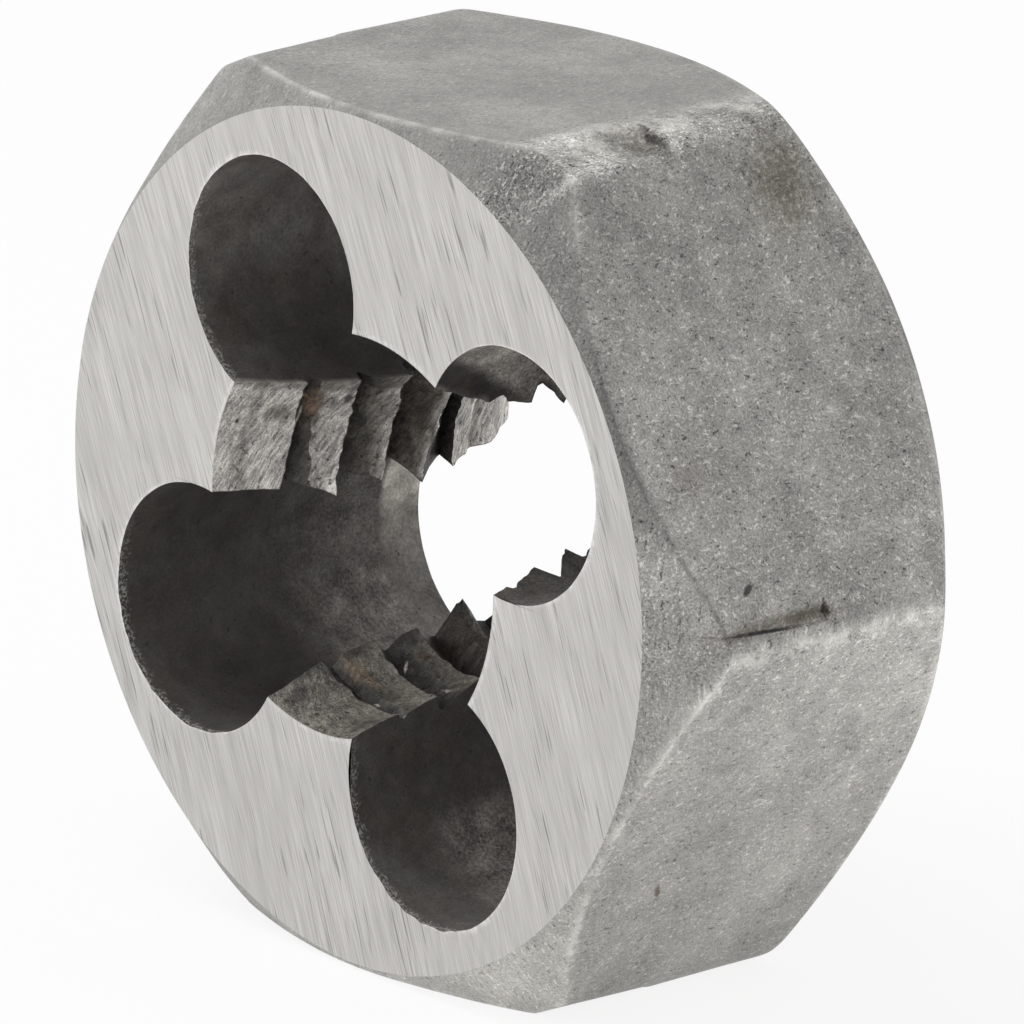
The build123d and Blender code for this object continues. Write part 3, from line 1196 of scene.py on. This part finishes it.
OUTSIDE_MARKS = (
    Mark(52.6, 10.7, 1.75, 1.35, (120, 117, 108), lean=20.0, cover=0.7, soft=0.9, ragged=3.0),
    Mark(53.0, 10.8, 1.10, 0.90, (88, 86, 76), lean=20.0, cover=0.8, soft=0.8, ragged=4.0),
    Mark(6.0, 3.40, 0.34, 0.12, (44, 43, 39), lean=61.0, cover=0.95, soft=0.3, ragged=1.0),
    Mark(-41.1, 3.9, 0.42, 0.12, (94, 78, 68), lean=-25.0, soft=0.5, ragged=2.0),
    Mark(19.8, 2.55, 0.55, 0.40, (112, 104, 98), cover=0.5, soft=0.8, ragged=4.0),
    # Brown band on the floor of the 0° cut, partly rust and partly painted shade.
    Mark(1.75, 4.3, 0.28, 2.4, (106, 98, 88), lean=-1.5, cover=0.85, soft=0.7, ragged=1.5),
    Mark(1.9, 5.8, 0.22, 0.9, (82, 73, 62), lean=-3.0, cover=0.8, soft=0.8, ragged=1.5),
    # Painted shadow on the side wall and the end wall of the 0° cut's step.
    Mark(1.28, 3.6, 0.058, 2.2, (12, 11, 10), lean=3.5, cover=1.0, soft=0.35, ragged=1.2),
    Mark(2.0, 6.53, 0.26, 0.10, (50, 44, 38), cover=0.9, soft=0.5, ragged=1.2),
    # Light marks on the rims and ridge round the 60° cut: partly worn metal and partly painted highlight.
    Mark(60.6, 7.1, 0.55, 0.36, (178, 177, 172), cover=0.5, soft=0.8, ragged=2.0),
    Mark(60.0, 3.9, 0.24, 1.6, (196, 195, 190), lean=-8.0, cover=0.5, soft=0.9, ragged=2.0),
    Mark(64.9, 3.2, 0.42, 0.90, (210, 209, 205), cover=0.6, soft=0.9, ragged=2.0),
    Mark(57.9, 3.0, 0.28, 1.40, (214, 213, 209), lean=-4.0, cover=0.65, soft=0.9, ragged=2.5),
    Mark(59.7, 6.85, 0.55, 0.22, (208, 207, 203), cover=0.7, soft=0.9, ragged=2.0),
    # Painted shade on the floor of the 60° cut, darkening to a painted shadow crescent at its step.
    Mark(61.6, 5.5, 0.75, 1.10, (120, 118, 113), cover=0.85, soft=0.9, ragged=2.5),
    Mark(61.3, 6.10, 0.85, 0.48, (80, 78, 73), cover=0.85, soft=0.9, ragged=3.0),
    Mark(60.7, 6.42, 0.95, 0.15, (34, 32, 28), lean=3.0, cover=1.0, soft=0.5, ragged=1.4),
)
LAND_MARKS = (
    Mark(156.9, 2.2, 0.34, 0.62, (84, 77, 69), cover=0.75, soft=0.6, radius=7.1),
    Mark(159.7, 3.12, 0.42, 0.05, (222, 217, 208), soft=0.4, ragged=0.8, radius=7.0),
    Mark(153.6, 3.38, 0.80, 0.24, (104, 84, 68), cover=0.8, soft=0.6, radius=6.9),
    Mark(151.6, 3.10, 0.10, 0.07, (158, 130, 104), cover=0.8, soft=0.6, ragged=2.0, radius=6.9),
    Mark(159.0, 0.57, 0.09, 0.06, (58, 53, 48), radius=7.5),
    Mark(174.3, 0.90, 0.08, 0.06, (64, 59, 53), radius=7.5),
    Mark(161.8, 1.58, 0.10, 0.35, (206, 202, 195), lean=-24.0, cover=0.6, soft=0.6, radius=7.2),
    Mark(169.9, 1.39, 0.08, 0.28, (206, 202, 195), lean=-24.0, cover=0.6, soft=0.6, radius=7.2),
    Mark(150.1, 4.50, 0.24, 0.18, (38, 35, 31), soft=0.5, radius=6.6),
    Mark(161.0, 8.3, 1.1, 0.5, (62, 53, 45), cover=0.6, soft=0.7, radius=6.2),
    Mark(170.0, 8.75, 1.0, 0.09, (118, 110, 101), lean=2.0, cover=0.7, soft=0.5, radius=6.2),
    Mark(170.9, 11.69, 0.14, 0.10, (74, 62, 52), cover=0.7, radius=6.8),
    Mark(164.8, 10.98, 0.16, 0.10, (74, 62, 52), cover=0.7, radius=6.6),
    # Painted shadows on land B: its upper corner at the entry face, the hollow of its first groove, the
    # hollow between its second teeth, and its heel.
    Mark(241.0, 0.72, 0.40, 0.36, (40, 37, 33), cover=0.95, soft=0.8, ragged=2.5, radius=7.9),
    Mark(250.6, 2.60, 1.20, 0.36, (36, 32, 29), lean=24.0, cover=0.95, soft=0.9, ragged=2.0, radius=7.1),
    Mark(243.2, 4.85, 0.60, 0.28, (36, 33, 30), cover=0.8, soft=0.8, ragged=2.0, radius=7.0),
    Mark(237.8, 2.0, 0.70, 0.50, (58, 55, 50), cover=0.6, soft=0.9, ragged=4.0, radius=7.3),
    Mark(242.5, 7.4, 1.50, 0.75, (64, 52, 45), cover=0.6, soft=0.8, ragged=2.0, radius=6.1),
    Mark(244.0, 3.06, 0.80, 0.18, (122, 104, 85), cover=0.75, soft=0.8, radius=7.2),
    Mark(244.3, 5.17, 0.24, 0.05, (206, 200, 190), lean=-40.0, soft=0.4, ragged=0.8, radius=7.0),
    Mark(271.7, 2.37, 0.07, 0.04, (170, 165, 156), soft=0.4, radius=7.0),
    Mark(257.7, 2.51, 0.14, 0.03, (160, 155, 147), soft=0.4, radius=7.0),
    Mark(273.8, 3.88, 0.20, 0.20, (34, 32, 29), soft=0.5, radius=6.6),
    Mark(244.9, 5.89, 0.30, 0.20, (70, 57, 45), cover=0.75, radius=6.7),
    Mark(265.9, 4.94, 0.32, 0.05, (152, 147, 140), soft=0.5, radius=6.6),
)


@dataclass(frozen=True)
class Grain:
    """Noise of a finish: the size of its features in millimetres, its detail and its roughness.

    Warp bends it. Where it is drawn out, stretch is how much a step along its lines counts.
    Layer is a step aside in metres, which makes it another noise of the same kind.
    """

    size: float
    detail: float = 2.0
    rough: float = 0.5
    warp: float = 0.0
    stretch: float = 1.0
    layer: float = 0.0


@dataclass(frozen=True)
class Ramp:
    """Smooth curve that carries low to start and high to end, and is level beyond them."""

    low: float
    high: float
    start: float = 0.0
    end: float = 1.0


class NodeSheet:
    """Nodes of one material or world, added from its inputs towards its output."""

    blur = Grain(0.22, 3.0, 0.65)
    darkest = 0.02
    first_colour, second_colour, mixed_colour = 6, 7, 2

    def __init__(self, owner: bpy.types.ID, ending: str = "OutputMaterial") -> None:
        """Empties the owner's nodes and adds its output.

        Args:
            owner: the material or world.
            ending: Blender's name of its output.
        """
        owner.use_nodes = True
        self.owner = owner
        self.tree = owner.node_tree
        self.tree.nodes.clear()
        self.output = self.add(ending)

    def add(self, kind: str, **settings: object) -> bpy.types.Node:
        """New node of a kind, with its settings."""
        node = self.tree.nodes.new("ShaderNode" + kind)
        for name, value in settings.items():
            setattr(node, name, value)
        return node

    def put(self, socket: Socket, value: object) -> None:
        """Links a socket to another, or sets its value."""
        if value is None:
            return
        if isinstance(value, Socket):
            self.tree.links.new(value, socket)
        else:
            socket.default_value = value

    def feed(self, node: bpy.types.Node, values: dict[str | int, object]) -> bpy.types.NodeOutputs:
        """Puts values or links into a node's inputs, by name or number, and returns its outputs."""
        for key, value in values.items():
            self.put(node.inputs[key], value)
        return node.outputs

    def place(self) -> Socket:
        """Object coordinates, in metres."""
        return self.add("TexCoord").outputs["Object"]

    def in_view(self) -> Socket:
        """1 for what the camera sees by itself or mirrored, and 0 for the rest."""
        path = self.add("LightPath").outputs
        return self.math("MAXIMUM", path["Is Camera Ray"], path["Is Glossy Ray"])

    def split(self, vector: Socket) -> list[Socket]:
        """The three parts of a vector."""
        return list(self.feed(self.add("SeparateXYZ"), {0: vector}))

    def join(self, x: object, y: object, z: object = 0.0) -> Socket:
        """Vector of three parts."""
        return self.feed(self.add("CombineXYZ"), {0: x, 1: y, 2: z})[0]

    def math(self, kind: str, a: object, b: object = None, c: object = None, clamp: bool = False) -> Socket:
        """Result of one sum on numbers.

        Args:
            kind: Blender's name of the operation.
            a: first number or socket.
            b: second one.
            c: third one.
            clamp: whether the result is held between 0 and 1.

        Returns:
            The result's socket.
        """
        return self.feed(self.add("Math", operation=kind, use_clamp=clamp), {0: a, 1: b, 2: c})[0]

    def covered(self, mark: Mark, place: Socket, blur: Socket) -> Socket:
        """How much of a mark lies at a place.

        The place is carried into the mark's own axes and measured in shares of its reach. Its
        distance from the middle, moved by a noise that is 0.5 on average, is then faded out.

        Args:
            mark: which mark.
            place: object coordinates.
            blur: the noise.

        Returns:
            Its cover in the middle, and 0 outside it.
        """
        carried = self.feed(self.add("Mapping", vector_type="TEXTURE"), {
            "Vector": place,
            "Location": mark.place(),
            "Rotation": mark.axes().to_euler(),
            "Scale": (mark.wide * MM, mark.long * MM, mark.inwards * MM),
        })[0]
        length = self.feed(self.add("VectorMath", operation="LENGTH"), {0: carried})["Value"]
        away = self.math("MULTIPLY_ADD", blur, mark.ragged, length)
        edge = 1.0 + 0.5 * mark.ragged
        return self.ramp(away, Ramp(edge - mark.soft, edge + mark.soft, mark.cover, 0.0))

    def painted(self, colour: Socket, marks: tuple[Mark, ...], place: Socket) -> Socket:
        """Colour with marks painted over it, one after another."""
        blur = self.noise(place, self.blur)
        for mark in marks:
            colour = self.mix(self.covered(mark, place, blur), colour, mark.colour())
        return colour

    def sway(self, noise: Socket, amount: object, onto: object = 1.0) -> Socket:
        """Adds amount times the noise's distance from 0.5 to a factor."""
        return self.math("MULTIPLY_ADD", self.math("SUBTRACT", noise, 0.5), amount, onto)

    def widened(self, factor: Socket, amount: Socket) -> Socket:
        """Factor whose distance from 1 is multiplied by an amount."""
        return self.math("MULTIPLY_ADD", self.math("SUBTRACT", factor, 1.0), amount, 1.0)

    def shaded(self, colour: Socket, factor: Socket) -> Socket:
        """Colour times a factor that is given as it looks on a screen."""
        return self.grey(self.math("MAXIMUM", factor, self.darkest), colour)

    def grey(self, tone: Socket, tint: object) -> Socket:
        """Tinted colour of a grey given as it looks on a screen, from 0 to 1."""
        level = self.math("POWER", tone, GAMMA)
        return self.mix(1.0, self.join(level, level, level), tint, kind="MULTIPLY")

    def noise(self, vector: Socket, grain: Grain) -> Socket:
        """Noise from 0 to 1."""
        return self.feed(self.add("TexNoise"), {
            "Vector": vector,
            "Scale": 1.0 / (grain.size * MM),
            "Detail": grain.detail,
            "Roughness": grain.rough,
            "Distortion": grain.warp,
        })["Fac"]

    def ramp(self, value: Socket, ramp: Ramp) -> Socket:
        """Value carried along a ramp."""
        node = self.add("MapRange", interpolation_type="SMOOTHSTEP")
        return self.feed(node, dict(enumerate((value, ramp.low, ramp.high, ramp.start, ramp.end))))[0]

    def mix(self, share: object, a: object, b: object, kind: str = "MIX") -> Socket:
        """Colour a turned into colour b by a share."""
        node = self.add("Mix", data_type="RGBA", blend_type=kind)
        return self.feed(node, {
            "Factor": share,
            self.first_colour: a,
            self.second_colour: b,
        })[self.mixed_colour]

    def field(self, name: str) -> Socket:
        """Number stored at the mesh's points."""
        return self.add("Attribute", attribute_name=name).outputs["Fac"]

    def steel(self, colour: Socket, metal: float, rough: object, height: Socket, bump: float,
              relief: float) -> bpy.types.Material:
        """Ends the sheet with a metal shader.

        Args:
            colour: of the steel.
            metal: how metallic it is.
            rough: how rough it is.
            height: tilts the surface.
            bump: how strongly it does.
            relief: what a height of 1 is in millimetres.

        Returns:
            The material.
        """
        bumps = {"Strength": bump, "Distance": relief * MM, "Height": height}
        normal = self.feed(self.add("Bump"), bumps)[0]
        shader = self.feed(self.add("BsdfPrincipled"), {
            "Base Color": colour,
            "Metallic": metal,
            "Roughness": rough,
            "Normal": normal,
        })[0]
        self.put(self.output.inputs[0], shader)
        return self.owner


@dataclass(frozen=True)
class GroundSteel:
    """Bright face from a surface grinder: fine straight lines, some coarse, a few scratched dark."""

    name: str = "ground_steel"
    bright: Colour = (0.640, 0.625, 0.600, 1.0)
    dull: Colour = (0.405, 0.393, 0.373, 1.0)
    scratch: Colour = (0.20, 0.195, 0.18, 1.0)
    # Colour of the painted highlight, partly a worn burr, along the bore's rim.
    rubbed_and_highlight: Colour = (0.84, 0.83, 0.81, 1.0)
    tilt: float = 20.0
    bow: float = 1.6
    fine: Grain = Grain(0.060, 3.0, 0.7, stretch=0.018)
    broad: Grain = Grain(0.5, stretch=0.06)
    fine_share: float = 0.75
    lines: Ramp = Ramp(0.33, 0.68)
    cloud: Grain = Grain(4.0)
    clouded: Ramp = Ramp(0.35, 0.7, 0.0, 0.22)
    coarse: Grain = Grain(0.09, 1.0, stretch=0.035, layer=0.02)
    coarse_lines: Ramp = Ramp(0.61, 0.70)
    spots: Grain = Grain(1.4, 1.0, stretch=0.3, layer=0.05)
    coarse_spots: Ramp = Ramp(0.44, 0.58)
    coarse_dark: float = 0.75
    coarse_sunk: float = 0.8
    patches: Grain = Grain(0.35, 3.0, 0.7)
    rim: Ramp = Ramp(0.38, 0.64, 0.10, 0.70)
    metal: float = 0.55
    gloss: Ramp = Ramp(0.3, 0.7, 0.50, 0.36)
    bump: float = 0.30
    relief: float = 0.012

    def make(self) -> bpy.types.Material:
        """Builds the material: noise drawn out along the grinding, in three widths."""
        sheet = NodeSheet(bpy.data.materials.new(self.name))
        x, _, z = sheet.split(sheet.place())
        across_x, across_z = math.cos(math.radians(self.tilt)), math.sin(math.radians(self.tilt))
        across = sheet.math("MULTIPLY_ADD", z, across_z, sheet.math("MULTIPLY", x, across_x))
        along = sheet.math("MULTIPLY_ADD", z, -across_x, sheet.math("MULTIPLY", x, across_z))
        bow = sheet.math("MULTIPLY", sheet.math("MULTIPLY", along, along), self.bow)
        across = sheet.math("ADD", across, bow)

        def drawn(grain: Grain) -> Socket:
            """Noise drawn out along the grinding."""
            step = sheet.math("MULTIPLY", along, grain.stretch)
            return sheet.noise(sheet.join(across, step, grain.layer), grain)

        fine, broad = drawn(self.fine), drawn(self.broad)
        light = sheet.math("MULTIPLY", broad, 1.0 - self.fine_share)
        light = sheet.math("MULTIPLY_ADD", fine, self.fine_share, light)
        colour = sheet.mix(sheet.ramp(light, self.lines), self.dull, self.bright)
        cloud = sheet.noise(sheet.place(), self.cloud)
        colour = sheet.mix(sheet.ramp(cloud, self.clouded), colour, self.dull)
        coarse = sheet.ramp(drawn(self.coarse), self.coarse_lines)
        deep = sheet.math("MULTIPLY", coarse, sheet.ramp(drawn(self.spots), self.coarse_spots))
        colour = sheet.mix(sheet.math("MULTIPLY", deep, self.coarse_dark), colour, self.scratch)
        # Painted highlight, partly a worn burr, along the bore's rim, broken up by patches.
        rim = sheet.ramp(sheet.noise(sheet.place(), self.patches), self.rim)
        colour = sheet.mix(sheet.math("MULTIPLY", rim, sheet.field("wear_and_highlight")), colour, self.rubbed_and_highlight)
        height = sheet.math("SUBTRACT", fine, sheet.math("MULTIPLY", deep, self.coarse_sunk))
        rough = sheet.ramp(light, self.gloss)
        return sheet.steel(colour, self.metal, rough, height, self.bump, self.relief)


@dataclass(frozen=True)
class BlastedSteel:
    """Grey blasted flats: fine grain with short dark and light flecks, worn light on their edges, with
    painted highlights.
    """

    name: str = "blasted_steel"
    tint: Colour = (1.0, 0.978, 0.922, 1.0)
    marks: tuple[Mark, ...] = OUTSIDE_MARKS
    grain: Grain = Grain(0.085, 2.0, 0.6)
    grain_sway: float = 0.85
    mottle: Grain = Grain(1.2, 4.0, 0.65)
    mottle_sway: float = 0.52
    drift: Grain = Grain(5.5)
    drift_sway: float = 0.40
    flecks: Grain = Grain(0.105, 1.5, 0.6, warp=0.3, stretch=0.28)
    fleck_bend: float = 2.5
    fleck_height: float = 1.2
    dark: Ramp = Ramp(0.37, 0.30, 0.0, 0.44)
    light: Ramp = Ramp(0.59, 0.67, 0.0, 0.30)
    broken_wear_and_highlight: Ramp = Ramp(0.36, 0.62, 0.4, 1.2)
    rubbed_and_highlight_calm: float = 0.5
    wear_and_highlight: float = 0.30
    metal: float = 0.22
    rough: float = 0.55
    bump: float = 0.60
    relief: float = 0.06

    def make(self) -> bpy.types.Material:
        """Builds the material: the stored tone and its marks, under grain, flecks and mottling.

        Flecks are the low and the high peaks of a noise drawn out along the axis and bent by
        another. Grain and flecks grow with the stored grit; the stored field of worn edges and
        painted highlight lightens edges, and darkens a line where it is negative.
        """
        sheet = NodeSheet(bpy.data.materials.new(self.name))
        place = sheet.place()
        grain, mottle, drift = (sheet.noise(place, each) for each in (self.grain, self.mottle, self.drift))
        x, y, z = sheet.split(place)
        bend = sheet.math("MULTIPLY", sheet.math("SUBTRACT", mottle, 0.5), self.fleck_bend * MM)
        bent = sheet.join(x, sheet.math("MULTIPLY", y, self.flecks.stretch), sheet.math("ADD", z, bend))
        flecks = sheet.noise(bent, self.flecks)
        factor = sheet.sway(mottle, self.mottle_sway, sheet.sway(grain, self.grain_sway))
        factor = sheet.math("SUBTRACT", factor, sheet.ramp(flecks, self.dark))
        factor = sheet.math("ADD", factor, sheet.ramp(flecks, self.light))
        # Worn edges with painted highlight, darker where the stored field is negative.
        broken_wear_and_highlight = sheet.math("MULTIPLY", sheet.field("wear_and_highlight"), sheet.ramp(mottle, self.broken_wear_and_highlight))
        rubbed_and_highlight = sheet.math("ABSOLUTE", broken_wear_and_highlight)
        calm = sheet.math("MULTIPLY_ADD", rubbed_and_highlight, -self.rubbed_and_highlight_calm, 1.0, clamp=True)
        grit = sheet.math("MULTIPLY", sheet.field("grit"), calm)
        factor = sheet.sway(drift, self.drift_sway, sheet.widened(factor, grit))
        factor = sheet.math("MULTIPLY_ADD", broken_wear_and_highlight, self.wear_and_highlight, factor)
        colour = sheet.painted(sheet.grey(sheet.field("tone"), self.tint), self.marks, place)
        colour = sheet.shaded(colour, factor)
        height = sheet.math("MULTIPLY_ADD", flecks, self.fleck_height, grain)
        height = sheet.math("MULTIPLY", height, grit)
        return sheet.steel(colour, self.metal, self.rough, height, self.bump, self.relief)


@dataclass(frozen=True)
class ScaledSteel:
    """Walls of the drilled holes: dull dark scale, with a granular grey lip at the entry face."""

    name: str = "scaled_steel"
    tint: Colour = (1.0, 0.945, 0.865, 1.0)
    brown: Colour = (0.050, 0.030, 0.021, 1.0)
    lip: Colour = (0.33, 0.32, 0.30, 1.0)
    lift: float = 1.30
    fine: Grain = Grain(0.11, 2.0, 0.6)
    fine_sway: float = 0.60
    cloud: Grain = Grain(2.8, 3.0, 0.55)
    cloud_sway: float = 0.35
    patch: Grain = Grain(0.9, 3.0, 0.6)
    patch_sway: float = 0.62
    patch_height: float = 0.8
    pits: Grain = Grain(0.26, 1.0)
    pitted: Ramp = Ramp(0.30, 0.24, 0.0, 0.30)
    stain: Grain = Grain(1.7, 4.0, 0.7)
    stained: Ramp = Ramp(0.38, 0.64, 0.0, 0.34)
    grains: Grain = Grain(0.10, 1.0)
    grainy: Ramp = Ramp(0.40, 0.62)
    lip_fade: Ramp = Ramp(0.08 * MM, 0.42 * MM, 0.95, 0.0)
    lip_ragged: float = 0.9
    metal: float = 0.0
    rough: float = 0.75
    bump: float = 0.4
    relief: float = 0.03

    def make(self) -> bpy.types.Material:
        """Builds the material: the stored tone with slow clouds, fine grain and sparse pits."""
        sheet = NodeSheet(bpy.data.materials.new(self.name))
        place = sheet.place()
        fine, cloud, patch, pits, stain, grains = (
            sheet.noise(place, each) for each in
            (self.fine, self.cloud, self.patch, self.pits, self.stain, self.grains)
        )
        factor = sheet.sway(cloud, self.cloud_sway, sheet.sway(fine, self.fine_sway))
        factor = sheet.widened(sheet.sway(patch, self.patch_sway, factor), sheet.field("grit"))
        factor = sheet.math("SUBTRACT", factor, sheet.ramp(pits, self.pitted))
        # The stored tone holds painted light and shade on the hole walls.
        colour = sheet.grey(sheet.math("MULTIPLY", sheet.field("tone"), self.lift), self.tint)
        colour = sheet.mix(sheet.ramp(stain, self.stained), colour, self.brown)
        colour = sheet.shaded(colour, factor)
        _, y, _ = sheet.split(place)
        behind = sheet.math("ADD", y, THICKNESS / 2 * MM)
        ragged = sheet.sway(pits, self.lip_ragged * MM, behind)
        lip = sheet.math("MULTIPLY", sheet.ramp(ragged, self.lip_fade), sheet.ramp(grains, self.grainy))
        lip = sheet.math("MULTIPLY", lip, sheet.field("wear_and_highlight"))
        colour = sheet.mix(lip, colour, self.lip)
        height = sheet.math("MULTIPLY_ADD", patch, self.patch_height, fine)
        return sheet.steel(colour, self.metal, self.rough, height, self.bump, self.relief)


@dataclass(frozen=True)
class CutSteel:
    """Toothed lands: torn cutting marks over each facet's stored grey with its painted light and shade,
    rust, bright burrs and painted shadows.
    """

    name: str = "cut_steel"
    tint: Colour = (1.0, 0.955, 0.90, 1.0)
    warm: Colour = (1.0, 0.925, 0.79, 1.0)
    warm_below: Ramp = Ramp(0.35, 0.62)
    marks: tuple[Mark, ...] = LAND_MARKS
    lift: float = 1.12
    ribs: Grain = Grain(0.15, 3.0, 0.75)
    rib_lean: float = -0.55
    rib_stretch: tuple[float, float] = (0.6, 0.22)
    rib_sway: float = 1.60
    rib_height: float = 1.0
    grit: Grain = Grain(0.075, 2.0, 0.6)
    grit_sway: float = 0.80
    grit_height: float = 0.4
    blotch: Grain = Grain(0.8, 2.5, 0.6)
    blotch_sway: float = 0.75
    pits: Grain = Grain(0.24, 1.5)
    pitted: Ramp = Ramp(0.36, 0.28, 0.0, 0.38)
    metal: float = 0.30
    rough: float = 0.48
    bump: float = 0.9
    relief: float = 0.08

    def make(self) -> bpy.types.Material:
        """Builds the material: the stored tone, varied by ribs drawn out along the cut."""
        sheet = NodeSheet(bpy.data.materials.new(self.name))
        place = sheet.place()
        x, y, z = sheet.split(place)
        leaned = sheet.math("MULTIPLY_ADD", z, self.rib_lean, y)
        x, z = (sheet.math("MULTIPLY", part, share) for part, share in zip((x, z), self.rib_stretch))
        ribs = sheet.noise(sheet.join(x, leaned, z), self.ribs)
        grit, blotch, pits = (sheet.noise(place, each) for each in (self.grit, self.blotch, self.pits))
        factor = sheet.sway(grit, self.grit_sway, sheet.sway(blotch, self.blotch_sway))
        factor = sheet.sway(ribs, self.rib_sway, factor)
        factor = sheet.math("SUBTRACT", factor, sheet.ramp(pits, self.pitted))
        # The stored tone holds painted shade in the grooves and painted highlights on the crests' edges.
        tint = sheet.mix(sheet.ramp(sheet.field("tone"), self.warm_below), self.warm, self.tint)
        colour = sheet.grey(sheet.math("MULTIPLY", sheet.field("tone"), self.lift), tint)
        colour = sheet.shaded(sheet.painted(colour, self.marks, place), factor)
        fine = sheet.math("MULTIPLY", grit, self.grit_height)
        height = sheet.math("MULTIPLY_ADD", ribs, self.rib_height, fine)
        return sheet.steel(colour, self.metal, self.rough, height, self.bump, self.relief)


FINISHES = (
    GroundSteel(),
    BlastedSteel(),
    GroundSteel(name="back_steel", bright=(0.40, 0.39, 0.37, 1.0), dull=(0.29, 0.285, 0.27, 1.0)),
    ScaledSteel(),
    CutSteel(),
)


@dataclass(frozen=True)
class Lamp:
    """Square soft lamp: its place and its side in millimetres, and its power in watts."""

    name: str
    place: tuple[float, float, float]
    side: float
    power: float

    def hang(self, aim: Vector) -> None:
        """Adds the lamp, turned towards a point given in metres."""
        data = bpy.data.lights.new(self.name, "AREA")
        data.size = self.side * MM
        data.energy = self.power
        lamp = bpy.data.objects.new(self.name, data)
        lamp.location = Vector(self.place) * MM
        lamp.rotation_mode = "QUATERNION"
        lamp.rotation_quaternion = (aim - lamp.location).to_track_quat("-Z", "Y")
        bpy.context.scene.collection.objects.link(lamp)


@dataclass(frozen=True)
class Studio:
    """Pale floor, soft lamps, white surroundings and the camera.

    The lamps are a high key from the left, a lower one on the entry face and a weak one on the
    right. Angles are in degrees and lengths in millimetres, but the camera's clip is in metres.
    """

    azimuth: float = 49.43
    elevation: float = 17.14
    roll: float = 0.47
    distance: float = 424.7
    lens: float = 418.25
    shift: Span = (0.0079, -0.0062)
    clip: Span = (0.02, 20.0)
    floor_half: float = 1500.0
    floor_colour: Colour = (0.90, 0.90, 0.90, 1.0)
    floor_glow: float = 0.86
    fill: float = 0.62
    aim: tuple[float, float, float] = (0.0, 0.0, 16.0)
    lamps: tuple[Lamp, ...] = (
        Lamp("key_high", (-150.0, -120.0, 420.0), 260.0, 0.75),
        Lamp("key_face", (-260.0, -330.0, 120.0), 240.0, 0.45),
        Lamp("rim_right", (330.0, 200.0, 160.0), 200.0, 0.16),
    )

    def floor(self) -> bpy.types.Object:
        """Flat floor: lit like paper, and partly white to the camera, so that a shadow stays."""
        half = self.floor_half * MM
        mesh = bpy.data.meshes.new("floor")
        mesh.from_pydata([(-half, -half, 0), (half, -half, 0), (half, half, 0), (-half, half, 0)],
                         [], [(0, 1, 2, 3)])
        sheet = NodeSheet(bpy.data.materials.new("pale_floor"))
        share = sheet.math("MULTIPLY", sheet.in_view(), self.floor_glow)
        paper = sheet.feed(sheet.add("BsdfDiffuse"), {"Color": self.floor_colour})[0]
        white = sheet.add("Emission").outputs[0]
        mixed = sheet.feed(sheet.add("MixShader"), {0: share, 1: paper, 2: white})[0]
        sheet.put(sheet.output.inputs[0], mixed)
        mesh.materials.append(sheet.owner)
        floor = bpy.data.objects.new("floor", mesh)
        bpy.context.scene.collection.objects.link(floor)
        return floor

    def surroundings(self) -> None:
        """World: white where it is seen or mirrored, and an even soft fill for the rest."""
        sheet = NodeSheet(bpy.data.worlds.new("soft_room"), "OutputWorld")
        through = sheet.add("LightPath").outputs["Is Transmission Ray"]
        clear = sheet.math("MAXIMUM", sheet.in_view(), through)
        strength = sheet.math("MULTIPLY_ADD", clear, 1.0 - self.fill, self.fill)
        light = sheet.feed(sheet.add("Background"), {"Color": WHITE, "Strength": strength})[0]
        sheet.put(sheet.output.inputs[0], light)
        bpy.context.scene.world = sheet.owner

    def camera(self) -> None:
        """Camera of the view: far off with a long lens, turned a little about its own axis."""
        data = bpy.data.cameras.new("camera")
        data.lens = self.lens
        data.shift_x, data.shift_y = self.shift
        data.clip_start, data.clip_end = self.clip
        turn, rise = math.radians(self.azimuth), math.radians(self.elevation)
        back = Vector((math.sin(turn) * math.cos(rise), -math.cos(turn) * math.cos(rise), math.sin(rise)))
        low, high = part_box(NODE)
        camera = bpy.data.objects.new("camera", data)
        camera.location = (Vector(low) + Vector(high)) / 2 + back * self.distance * MM
        upright = (-back).to_track_quat("-Z", "Y").to_matrix().to_4x4()
        turned = upright @ Matrix.Rotation(math.radians(self.roll), 4, "Z")
        camera.rotation_mode = "QUATERNION"
        camera.rotation_quaternion = turned.to_quaternion()
        bpy.context.scene.collection.objects.link(camera)
        bpy.context.scene.camera = camera

    def build(self) -> None:
        """Sets up everything round the die."""
        self.floor()
        self.surroundings()
        for lamp in self.lamps:
            lamp.hang(Vector(self.aim) * MM)
        self.camera()
        bpy.context.scene.view_settings.view_transform = "Standard"


def main() -> None:
    """Builds the die and the studio."""
    logging.basicConfig(level=logging.INFO, format="%(name)s: %(message)s")
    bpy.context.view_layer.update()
    block = HexDie().build()
    for finish in FINISHES:
        block.data.materials.append(finish.make())
    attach(block, BODY)
    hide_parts(NODE)
    log.info("%s: %d faces", block.name, len(block.data.polygons))
    Studio().build()


if __name__ == "__main__":
    main()
